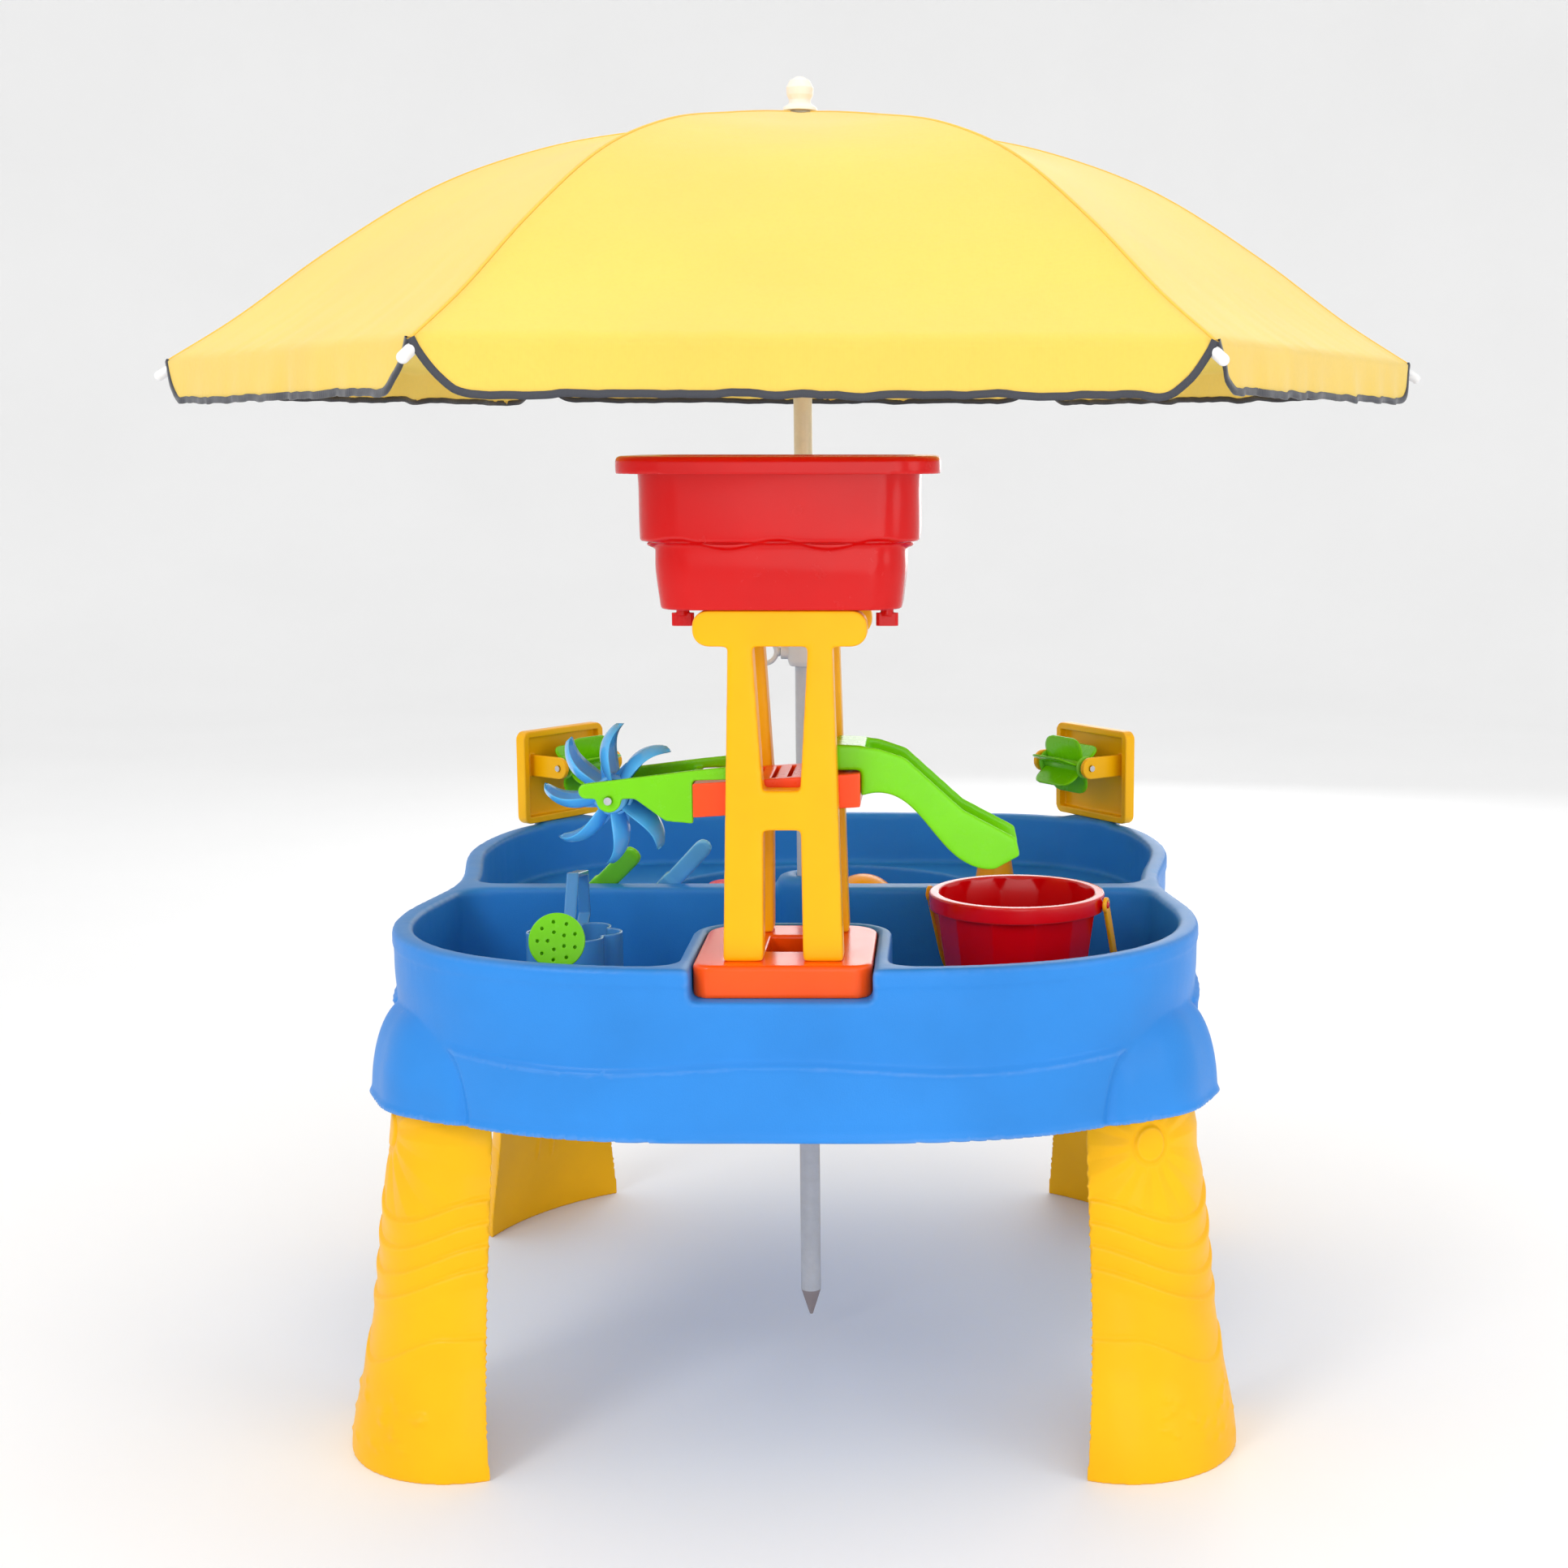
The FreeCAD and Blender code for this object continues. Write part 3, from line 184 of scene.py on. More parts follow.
def fabric(name, colour, weave=0.9, glow=0.3):
    """Thin woven polyester: crossed threads, faint slubs, soft sheen and some light from the other side."""
    material, tree, shader = start_material(name)
    place = node(tree, "TexCoord").outputs["Object"]
    threads = 2.0 * math.pi / (weave * MM) / 20.0
    across = node(tree, "TexWave", {"bands_direction": "X"}, Vector=place, Scale=threads, Distortion=0.6,
                  Detail=1.0, Detail_Scale=4.0).outputs["Fac"]
    along = node(tree, "TexWave", {"bands_direction": "Y"}, Vector=place, Scale=threads, Distortion=0.6,
                 Detail=1.0, Detail_Scale=4.0).outputs["Fac"]
    crossed = node(tree, "Math", {"operation": "ADD"})
    tree.links.new(across, crossed.inputs[0])
    tree.links.new(along, crossed.inputs[1])
    cloud = noise_at(tree, place, 7.0)
    tone = ramp(tree, cloud, [(0.3, scaled(colour, 0.95)), (0.7, scaled(colour, 1.04))])
    slub = noise_at(tree, place, 300.0, detail=4.0)
    fleck = ramp(tree, slub, [(0.45, (0, 0, 0, 1)), (0.75, (0.16, 0.16, 0.16, 1))])
    mixed = node(tree, "MixRGB", Fac=fleck, Color1=tone, Color2=scaled(colour, 0.82)).outputs["Color"]
    tree.links.new(mixed, shader.inputs["Base Color"])
    tree.links.new(spread(tree, cloud, 0.52, 0.68), shader.inputs["Roughness"])
    creases = noise_at(tree, place, 26.0, detail=4.0, rough=0.6)
    soft = node(tree, "Bump", Height=creases, Distance=1.6 * MM, Strength=0.5)
    bump = node(tree, "Bump", Height=crossed.outputs[0], Distance=0.12 * MM, Strength=0.35,
                Normal=soft.outputs["Normal"])
    tree.links.new(bump.outputs["Normal"], shader.inputs["Normal"])
    shader.inputs["Sheen Weight"].default_value = 0.25
    shader.inputs["Sheen Roughness"].default_value = 0.45
    shader.inputs["Specular IOR Level"].default_value = 0.35
    if glow:
        shader.inputs["Subsurface Weight"].default_value = glow
        shader.inputs["Subsurface Radius"].default_value = (1.0, 0.85, 0.35)
        shader.inputs["Subsurface Scale"].default_value = 12.0 * MM
    return material


def metal(name, colour, roughness=0.3, paint=False):
    """Drawn steel, bare or painted: streaks along the tube and small scuffs."""
    material, tree, shader = start_material(name)
    place = node(tree, "TexCoord").outputs["Object"]
    stretch = node(tree, "Mapping", Vector=place, Scale=(1.0, 1.0, 0.04)).outputs["Vector"]
    streak = noise_at(tree, stretch, 500.0, detail=4.0)
    scuff = noise_at(tree, place, 90.0, detail=6.0, rough=0.7)
    tone = ramp(tree, scuff, [(0.35, scaled(colour, 0.93)), (0.75, scaled(colour, 1.05))])
    tree.links.new(tone, shader.inputs["Base Color"])
    tree.links.new(spread(tree, scuff, roughness - 0.06, roughness + 0.12), shader.inputs["Roughness"])
    bump = node(tree, "Bump", Height=streak, Distance=0.05 * MM, Strength=0.25)
    tree.links.new(bump.outputs["Normal"], shader.inputs["Normal"])
    shader.inputs["Metallic"].default_value = 0.0 if paint else 1.0
    shader.inputs["Coat Weight"].default_value = 0.35 if paint else 0.0
    return material


FINISHES = {
    # The blue shell gets the strongest pale edges: a painted highlight along the tray's rim, partly wear.
    "blue_shell": plastic("blue_shell", linear(44, 134, 218), roughness=0.42, grain=0.10, coat=0.15,
                          edge_wear_and_highlight=0.25),
    "yellow_leg": plastic("yellow_leg", linear(250, 184, 0), roughness=0.42, grain=0.08, coat=0.08),
    "screw_steel": metal("screw_steel", linear(176, 178, 182), 0.28),
    "orange_base": plastic("orange_base", linear(255, 84, 4), roughness=0.22, grain=0.03, coat=0.5),
    "yellow_tower": plastic("yellow_tower", linear(255, 182, 0), roughness=0.36, grain=0.05, coat=0.12),
    "orange_connector": plastic("orange_connector", linear(255, 80, 22), roughness=0.28, coat=0.3),
    "green_chute": plastic("green_chute", linear(118, 212, 0), roughness=0.26, coat=0.35, scatter=0.08),
    "axle_steel": metal("axle_steel", linear(196, 198, 202), 0.22),
    "yellow_panel": plastic("yellow_panel", linear(255, 188, 0), roughness=0.36, coat=0.2),
    "pole_grey": metal("pole_grey", linear(196, 200, 208), 0.32, paint=True),
    "spike_grey": plastic("spike_grey", linear(150, 140, 142), roughness=0.45, coat=0.1),
    "clamp_white": plastic("clamp_white", linear(226, 228, 230), roughness=0.3),
    "blue_wheel": plastic("blue_wheel", linear(84, 178, 244), roughness=0.2, grain=0.03, coat=0.8,
                          scatter=0.25),
    "green_wheel": plastic("green_wheel", linear(118, 212, 0), roughness=0.26, coat=0.35),
    "red_basin": plastic("red_basin", linear(208, 0, 0), roughness=0.24, grain=0.03, coat=0.4),
    "red_plug": plastic("red_plug", linear(214, 10, 14), roughness=0.28, coat=0.3),
    "pole_ivory": metal("pole_ivory", linear(236, 232, 206), 0.3, paint=True),
    "hub_white": plastic("hub_white", linear(232, 232, 228), roughness=0.32),
    "finial_cream": plastic("finial_cream", linear(244, 234, 222), roughness=0.3, coat=0.4, scatter=0.15),
    "canopy_fabric": fabric("canopy_fabric", linear(252, 205, 78)),
    "canopy_tape": fabric("canopy_tape", linear(62, 64, 72), weave=1.4, glow=0.0),
    "canopy_seam": fabric("canopy_seam", linear(250, 190, 66), weave=1.0),
    "rib_steel": metal("rib_steel", linear(200, 202, 206), 0.3),
    "tip_white": plastic("tip_white", linear(236, 236, 236), roughness=0.35),
    "red_bucket": plastic("red_bucket", linear(216, 0, 8), roughness=0.2, grain=0.02, coat=0.8),
    "yellow_bail": plastic("yellow_bail", linear(255, 180, 10), roughness=0.28, coat=0.35, scatter=0.1),
    "can_blue": plastic("can_blue", linear(92, 172, 238), roughness=0.16, grain=0.02, coat=0.6, scatter=0.2,
                        clear=0.25),
    "can_green": plastic("can_green", linear(116, 212, 0), roughness=0.24, coat=0.4),
    "green_tool": plastic("green_tool", linear(118, 214, 40), roughness=0.2, coat=0.5),
    "blue_tool": plastic("blue_tool", linear(120, 200, 246), roughness=0.2, coat=0.5, scatter=0.15),
    "mould_orange": plastic("mould_orange", linear(255, 74, 10), roughness=0.26, coat=0.4),
    "mould_yellow": plastic("mould_yellow", linear(255, 168, 6), roughness=0.26, coat=0.4),
}


# ---------------------------------------------------------------- mesh helpers

def smoothstep(low, high, value):
    share = np.clip((value - low) / (high - low), 0.0, 1.0)
    return share * share * (3.0 - 2.0 * share)


def hump(centre, width, value):
    """A smooth bell, 1 at the centre."""
    return np.exp(-((value - centre) / width) ** 2)


def points_of(mesh):
    values = np.empty(len(mesh.vertices) * 3, np.float32)
    mesh.vertices.foreach_get("co", values)
    return values.reshape(-1, 3).astype(float)


def normals_of(mesh):
    values = np.empty(len(mesh.vertices) * 3, np.float32)
    mesh.vertex_normals.foreach_get("vector", values)
    return values.reshape(-1, 3).astype(float)


def set_points(mesh, points):
    mesh.vertices.foreach_set("co", points.astype(np.float32).ravel())
    mesh.update()


def bake(piece):
    """The piece's modifiers become its mesh."""
    depsgraph = bpy.context.evaluated_depsgraph_get()
    mesh = bpy.data.meshes.new_from_object(piece.evaluated_get(depsgraph))
    piece.modifiers.clear()
    piece.data = mesh


def add_piece(name, mesh):
    piece = bpy.data.objects.new(name, mesh)
    bpy.context.scene.collection.objects.link(piece)
    return piece


def mesh_piece(name, vertices, faces):
    mesh = bpy.data.meshes.new(name)
    mesh.from_pydata([tuple(v) for v in vertices], [], faces)
    mesh.update()
    return add_piece(name, mesh)


def dress(piece, finish, body, replaced=()):
    """The piece's finish, the body that it rides on and the CAD nodes that it stands for."""
    piece.data.materials.clear()
    piece.data.materials.append(FINISHES[finish])
    piece.data.polygons.foreach_set("use_smooth", [True] * len(piece.data.polygons))
    if replaced:
        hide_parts(*replaced)
    if body:
        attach(piece, body)
    return piece


def smooth(piece, rounds, factor=0.5):
    modifier = piece.modifiers.new("round", "SMOOTH")
    modifier.factor = factor
    modifier.iterations = rounds


def thin_out(piece, faces):
    """Fewer triangles where the shape allows."""
    count = sum(len(polygon.vertices) - 2 for polygon in piece.data.polygons)
    if count > faces:
        modifier = piece.modifiers.new("thin", "DECIMATE")
        modifier.ratio = faces / count
        bake(piece)


def moulded(name, finish, voxel=1.0, rounds=5, faces=40000, relief=None, after=1):
    """A CAD part as it comes out of its mould: edges rounded, then its relief, then fewer faces."""
    source = frame["nodes"][name]
    piece = add_piece(name + "_skin", source.data.copy())
    remesh = piece.modifiers.new("remesh", "REMESH")
    remesh.mode = "VOXEL"
    remesh.voxel_size = voxel * MM
    smooth(piece, rounds)
    bake(piece)
    if relief:
        relief(piece)
        smooth(piece, after)
        bake(piece)
    thin_out(piece, faces)
    return dress(piece, finish, BODY_OF[name], (name,))


def joined(name, pieces):
    """Several meshes as one object."""
    vertices, faces = [], []
    for part_vertices, part_faces in pieces:
        start = len(vertices)
        vertices.extend(part_vertices)
        faces.extend([tuple(index + start for index in face) for face in part_faces])
    return mesh_piece(name, vertices, faces)


def grid(rows, columns, wrap=False):
    """Faces of a grid of points stored row by row."""
    faces = []
    last = columns if wrap else columns - 1
    for row in range(rows - 1):
        for column in range(last):
            following = (column + 1) % columns
            faces.append((row * columns + column, row * columns + following,
                          (row + 1) * columns + following, (row + 1) * columns + column))
    return faces


# ---------------------------------------------------------------- tray

LEG_TOPS = [(259.0, -194.0), (-259.0, -194.0), (-259.0, 280.0), (259.0, 280.0)]
TRAY_MIDDLE = 43.0


def outer_skin(points, normals, depth):
    """How far each point is part of the outer wall, 0 to 1, and its outward direction in plan."""
    flat = points[:, :2] - np.array([0.0, TRAY_MIDDLE])
    reach = np.linalg.norm(flat, axis=1)
    outward = flat / np.maximum(reach, 1e-6)[:, None]
    turns = ((np.degrees(np.arctan2(flat[:, 1], flat[:, 0])) + 360.0) % 360.0).astype(int)
    furthest = np.zeros(361)
    high = points[:, 2] > 385.0
    np.maximum.at(furthest, turns[high], reach[high])
    near = smoothstep(-depth, -depth + 4.0, reach - furthest[turns])
    facing = smoothstep(0.25, 0.6, (normals[:, :2] * outward).sum(1))
    return near * facing, outward


def swoosh_line(x, y):
    """Height of the wavy step in the skirt, round the tray."""
    turn = np.degrees(np.arctan2(np.abs(x), -(y - TRAY_MIDDLE)))
    front = 338.0 + 3.5 * np.cos(np.pi * x / 150.0)
    side = 340.0 + 27.0 * hump(72.0, 18.0, turn) + 27.0 * hump(124.0, 20.0, turn)
    share = smoothstep(42.0, 54.0, turn)
    return front * (1.0 - share) + side * share


def dome_reach(direction, diagonal, z):
    """Radius of a leg's dome at a height and a direction in plan; it is wider away from the diagonal."""
    rise = np.clip((z - 280.0) / 80.0, 0.0, 1.0)
    aside = 1.0 - np.clip(direction @ diagonal, 0.0, 1.0)
    return (44.0 + 30.0 * np.sqrt(1.0 - rise ** 2)) * (1.0 + 0.16 * smoothstep(0.04, 0.40, aside))


def tray_relief(piece):
    """Leg domes, the wavy step, the side bulges and the rolled lip of the skirt."""
    points = points_of(piece.data) / MM
    normals = normals_of(piece.data)
    skin, outward = outer_skin(points, normals, 14.0)
    z = points[:, 2].copy()
    on_dome = np.zeros(len(points))
    for corner_x, corner_y in LEG_TOPS:
        flat = points[:, :2] - np.array([corner_x, corner_y])
        away = np.linalg.norm(flat, axis=1)
        diagonal = np.array([corner_x, corner_y - TRAY_MIDDLE])
        diagonal /= np.linalg.norm(diagonal)
        direction = flat / np.maximum(away, 1e-6)[:, None]
        dome = dome_reach(direction, diagonal, z)
        facing = smoothstep(-0.15, 0.30, (normals[:, :2] * direction).sum(1))
        sector = smoothstep(-0.05, 0.20, direction @ diagonal) * (away > 30.0) * (z < 361.0) * (away < 130.0)
        softened = 0.5 * (away + dome + np.sqrt((away - dome) ** 2 + 4.0))
        push = (softened - away) * facing * sector
        points[:, :2] += direction * push[:, None]
        on_dome = np.maximum(on_dome, smoothstep(-5.0, 1.0, dome - away) * sector)
    x, y = points[:, 0], points[:, 1]
    line = swoosh_line(x, y)
    turn = np.degrees(np.arctan2(np.abs(x), -(y - TRAY_MIDDLE)))
    side = smoothstep(44.0, 60.0, turn) * (1.0 - smoothstep(140.0, 156.0, turn))
    step = (3.4 + 1.6 * side) * smoothstep(-2.0, 2.2, line - z)
    ridge = 1.3 * hump(-1.0, 2.6, z - line)
    low_band = 1.2 * side * smoothstep(-1.5, 1.5, 311.0 - z)
    pinch = -(2.2 * side + 0.4) * smoothstep(-3.0, 3.0, 293.0 - z)
    lip = 2.6 * hump(282.0, 3.2, z)
    flank = 3.0 * smoothstep(340.0, 385.0, z) * smoothstep(406.0, 397.0, z)
    push = ((step + ridge + low_band + pinch + flank) * (1.0 - on_dome) + lip) * skin
    points[:, :2] += outward * push[:, None]
    set_points(piece.data, points * MM)


def rounded_rim(piece, rounds, bottom, top):
    """Extra rounding of what lies above a height."""
    group = piece.vertex_groups.new(name="rim")
    heights = points_of(piece.data)[:, 2]
    weights = smoothstep(bottom, top, heights)
    for index in np.nonzero(weights > 0.02)[0]:
        group.add([int(index)], float(weights[index]), "REPLACE")
    smooth(piece, rounds)
    piece.modifiers[-1].vertex_group = "rim"
    bake(piece)
    piece.vertex_groups.clear()


def swept_corners(piece, spots, rounds):
    """Wide fillets up the inner corners of the compartments: spots are (x, y, radius), mm."""
    group = piece.vertex_groups.new(name="sweep")
    points = points_of(piece.data) / MM
    weights = np.zeros(len(points))
    for x, y, radius in spots:
        weights = np.maximum(weights, hump(0.0, radius, np.hypot(np.abs(points[:, 0]) - x, points[:, 1] - y)))
    weights *= smoothstep(300.0, 318.0, points[:, 2])
    for index in np.nonzero(weights > 0.05)[0]:
        group.add([int(index)], float(weights[index]), "REPLACE")
    smooth(piece, rounds)
    piece.modifiers[-1].vertex_group = "sweep"
    bake(piece)
    piece.vertex_groups.clear()


INNER_CORNERS = [(82.0, -300.0, 14.0), (290.0, -22.0, 16.0)]


def make_tray():
    def relief(piece):
        rounded_rim(piece, 16, 0.398, 0.412)
        swept_corners(piece, INNER_CORNERS, 20)
        tray_relief(piece)

    moulded("tray", "blue_shell", voxel=2.1, rounds=6, faces=190000, relief=relief, after=2)


# ---------------------------------------------------------------- legs

SUN_TURN = math.radians(-25.0)
SUN_HEIGHT = 258.0
SUN_RADIUS = 15.5
LEG_RADIUS = 72.0


def leg_relief(corner):
    """A sun with rays, wave bands and dimpled sand on the outer wall; two ribs down the inner one."""
    corner_x, corner_y = corner
    mirror = 1.0 if corner_x * (corner_y - TRAY_MIDDLE) < 0 else -1.0
    shuffled = random.Random(int(corner_x + corner_y))
    pebbles = [(shuffled.uniform(-42, 30), shuffled.uniform(14, 62), shuffled.uniform(1.8, 4.2))
               for _ in range(26)]

    def relief(piece):
        points = points_of(piece.data) / MM
        normals = normals_of(piece.data)
        flat = points[:, :2] - np.array([corner_x, corner_y])
        diagonal = math.atan2(corner_y - TRAY_MIDDLE, corner_x)
        turn = np.arctan2(flat[:, 1], flat[:, 0]) - diagonal
        turn = (turn + np.pi) % (2.0 * np.pi) - np.pi
        away = np.array([math.cos(diagonal), math.sin(diagonal)])
        outside = smoothstep(0.1, 0.45, normals[:, :2] @ away)
        inside = smoothstep(0.1, 0.45, -(normals[:, :2] @ away))
        z = points[:, 2]
        across = LEG_RADIUS * turn
        flipped = across * mirror
        sun_x = across - LEG_RADIUS * SUN_TURN
        sun_z = z - SUN_HEIGHT
        far = np.hypot(sun_x, sun_z)
        angle = np.arctan2(sun_z, sun_x)
        wave_one = 204.0 - 11.0 * np.cos(flipped / 26.0)
        above = smoothstep(0.0, 4.0, z - wave_one)
        rays = np.abs(((angle / (2.0 * np.pi) * 14.0) % 1.0) - 0.5) * 2.0
        relief_depth = -1.5 * hump(SUN_RADIUS, 1.5, far)
        relief_depth += 1.3 * smoothstep(SUN_RADIUS, SUN_RADIUS - 3.0, far)
        relief_depth += 2.0 * (rays - 0.5) * smoothstep(SUN_RADIUS + 1.0, SUN_RADIUS + 14.0, far) * above
        for index in range(4):
            swing = np.cos(flipped / (26.0 + 3.0 * index) - 0.25 * index)
            wave = 204.0 - 20.0 * index - (11.0 + 2.5 * index) * swing
            relief_depth += 1.7 * smoothstep(-1.0, 1.0, wave - z) * smoothstep(16.0, 2.0, wave - z)
            relief_depth -= 1.0 * hump(1.6, 1.4, z - wave)
        dune = 78.0 + 30.0 * smoothstep(10.0, -52.0, flipped) + 14.0 * smoothstep(12.0, 46.0, flipped)
        relief_depth += 1.5 * smoothstep(-1.2, 1.2, dune - z) * smoothstep(26.0, 3.0, dune - z)
        relief_depth -= 0.6 * hump(2.0, 1.6, z - dune)
        for spot, height, radius in pebbles:
            relief_depth += 1.1 * hump(0.0, radius, np.hypot(flipped - spot, z - height))
        ribs = hump(14.0, 2.6, np.abs(across)) * smoothstep(60.0, 72.0, z) * smoothstep(289.0, 284.0, z)
        depth = relief_depth * outside * smoothstep(290.5, 287.0, z) + 2.2 * ribs * inside
        points += normals * depth[:, None]
        points[:, 2] = np.maximum(points[:, 2], 0.0)
        set_points(piece.data, points * MM)

    return relief


def make_legs():
    for name, corner in zip(("front_right", "front_left", "back_left", "back_right"), LEG_TOPS):
        moulded("leg_" + name, "yellow_leg", voxel=1.45, rounds=4, faces=90000, relief=leg_relief(corner))


# ---------------------------------------------------------------- canopy

REACH = 530.0
CANOPY_TURN = math.radians(5.0)
SHARES = np.array([0.019, 0.10, 0.22, 0.40, 0.57, 0.75, 0.90, 1.0])
HEIGHTS = np.array([1075.8, 1071.0, 1062.0, 1045.0, 1013.5, 957.0, 901.0, 869.0])
VALANCE_DROP = 37.0
NOTCH = 40.0
GORE_COLUMNS = 56
GORE_ROWS = 44
VALANCE_ROWS = 9


def rib_height(share):
    """A smooth curve through the rib's heights."""
    slopes = np.gradient(HEIGHTS, SHARES)
    index = int(np.clip(np.searchsorted(SHARES, share) - 1, 0, len(SHARES) - 2))
    width = SHARES[index + 1] - SHARES[index]
    t = (share - SHARES[index]) / width
    return float((2 * t ** 3 - 3 * t ** 2 + 1) * HEIGHTS[index]
                 + (t ** 3 - 2 * t ** 2 + t) * width * slopes[index]
                 + (3 * t ** 2 - 2 * t ** 3) * HEIGHTS[index + 1]
                 + (t ** 3 - t ** 2) * width * slopes[index + 1])


def gore_point(gore, across, share, drop):
    """A point of the cloth, mm: across its gore 0..1, share of the reach, and mm down the valance."""
    first = CANOPY_TURN + math.radians(60.0) * gore
    ends = [Vector((math.cos(first + turn), math.sin(first + turn), 0)) * share * REACH
            for turn in (0.0, math.radians(60.0))]
    place = ends[0].lerp(ends[1], across)
    middle = math.sin(math.pi * across)
    outward = (ends[0] + ends[1]).normalized()
    place.z = rib_height(share)
    slack = share * (1.0 - share) * 4.0
    place.z -= 7.0 * slack * middle
    edge = smoothstep(0.72, 1.0, share)
    run = (gore + across) * REACH
    puckers = noise.noise(Vector((run / 26.0, share * 3.0, 3.1)))
    puckers += 0.5 * noise.noise(Vector((run / 11.0, share * 2.0, 8.7)))
    pinned = min(1.0, 9.0 * middle)
    place.z += 1.3 * puckers * edge * pinned
    if drop > 0.0:
        depth = min(1.0, min(across, 1.0 - across) * REACH / NOTCH)
        length = VALANCE_DROP * (0.85 - 0.15 * outward.y) * math.sin(0.5 * math.pi * depth) ** 0.85
        down = drop * length
        sway = noise.noise(Vector((run / 34.0, 5.5, 1.0)))
        sway += 0.45 * noise.noise(Vector((run / 13.0, 2.5, 7.0)))
        place += outward * (1.5 * drop + 4.2 * sway * drop) * pinned
        place.z -= down * (1.0 + 0.05 * sway)
    return place


def cloth_rows():
    shares = [(float(s), 0.0) for s in np.linspace(SHARES[0], 1.0, GORE_ROWS)]
    return shares + [(1.0, row / VALANCE_ROWS) for row in range(1, VALANCE_ROWS + 1)]


def make_cloth():
    """One curved sheet of six gores that ends in a scalloped valance."""
    rows = cloth_rows()
    columns = 6 * GORE_COLUMNS
    vertices = []
    for share, drop in rows:
        for column in range(columns):
            gore, step = divmod(column, GORE_COLUMNS)
            vertices.append(gore_point(gore, step / GORE_COLUMNS, share, drop) * MM)
    faces = []
    for face in grid(len(rows), columns, wrap=True):
        if len({tuple(round(c, 6) for c in vertices[index]) for index in face}) > 2:
            faces.append(tuple(reversed(face)))
    cloth = mesh_piece("canopy_cloth", vertices, faces)
    weld = cloth.modifiers.new("weld", "WELD")
    weld.merge_threshold = 0.05 * MM
    thick = cloth.modifiers.new("thick", "SOLIDIFY")
    thick.thickness = 0.5 * MM
    thick.offset = 0.0
    bake(cloth)
    return cloth


def strip(line, inward, outward, width, thick, start):
    """A flat band along an open line: inward points across it and outward through it."""
    section = [(start, -0.5), (start + 0.5 * width, -0.62), (start + width, -0.5),
               (start + width, 0.5), (start + 0.5 * width, 0.62), (start, 0.5)]
    vertices = []
    for point, across, through in zip(line, inward, outward):
        for along, depth in section:
            vertices.append((point + across * along + through * depth * thick) * MM)
    faces = grid(len(line), len(section), wrap=True)
    return vertices, faces


def hem_bands():
    """The tape folded over the valance's edge, from rib corner to rib corner."""
    bands = []
    steps = 110
    for gore in range(6):
        first = CANOPY_TURN + math.radians(60.0) * (gore + 0.5)
        outward = Vector((math.cos(first), math.sin(first), 0.0))
        shares = [0.5 - 0.5 * math.cos(math.pi * step / steps) for step in range(steps + 1)]
        shares = [0.35 * a + 0.65 * step / steps for step, a in enumerate(shares)]
        line = [gore_point(gore, a, 1.0, 1.0) for a in shares]
        inward = []
        through = []
        for index in range(len(line)):
            before = line[max(index - 1, 0)]
            after = line[min(index + 1, len(line) - 1)]
            tangent = (after - before).normalized()
            side = outward.cross(tangent).normalized()
            if side.z < 0 and abs(side.z) > 0.3:
                side = -side
            inward.append(side)
            through.append(tangent.cross(side).normalized())
        bands.append(strip(line, inward, through, 5.2, 1.7, -0.7))
    return bands


def seam_bands():
    """The felled seam along each rib, a narrow raised band."""
    bands = []
    for gore in range(6):
        turn = CANOPY_TURN + math.radians(60.0) * gore
        across = Vector((-math.sin(turn), math.cos(turn), 0.0))
        shares = np.linspace(0.035, 0.998, 60)
        line = [gore_point(gore, 0.0, float(share), 0.0) + Vector((0, 0, 0.35)) for share in shares]
        through = []
        for index in range(len(line)):
            tangent = (line[min(index + 1, len(line) - 1)] - line[max(index - 1, 0)]).normalized()
            through.append(tangent.cross(across).normalized())
        sections = []
        for point, normal in zip(line, through):
            if normal.z < 0:
                normal = -normal
            for side, lift in ((-2.1, -1.1), (-1.2, 0.45), (0.0, 0.7), (1.2, 0.45), (2.1, -1.1), (0.0, -0.6)):
                sections.append((point + across * side + normal * lift) * MM)
        bands.append((sections, grid(len(line), 6, wrap=True)))
    return bands


def make_canopy():
    cloth = make_cloth()
    hem = joined("canopy_hem", hem_bands())
    seams = joined("canopy_seams", seam_bands())
    dress(cloth, "canopy_fabric", None, ("canopy",))
    dress(hem, "canopy_tape", None)
    dress(seams, "canopy_seam", None)
    for piece in (cloth, hem, seams):
        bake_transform(piece)


# ---------------------------------------------------------------- tower and basin

def basin_relief(piece):
    """The step round the tub runs in waves: the wall stands out above it and lies back below it."""
    points = points_of(piece.data) / MM
    normals = normals_of(piece.data)
    low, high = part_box("basin")
    bottom = low.z / MM
    centre = (low.y + high.y) / 2 / MM
    x, y, z = points.T
    around = np.where(np.abs(y - centre) > 55.0, x, y - centre)
    step = bottom + 49.0 + 3.4 * np.cos(2.0 * np.pi * around / 74.0)
    radial = np.stack([x / 105.0, (y - centre) / 79.0], axis=1)
    radial /= np.maximum(np.linalg.norm(radial, axis=1), 1e-6)[:, None]
    facing = smoothstep(0.35, 0.7, (normals[:, :2] * radial).sum(1))
    upper = smoothstep(-1.6, 1.6, z - step) * (1.0 - smoothstep(bottom + 50.0, bottom + 100.0, z))
    near = hump(0.0, 14.0, z - (bottom + 49.0))
    push = (3.4 * upper - 2.6 * near * (1.0 - upper)) * facing * (z < bottom + 98.0)
    points[:, :2] += normals[:, :2] * push[:, None]
    set_points(piece.data, points * MM)


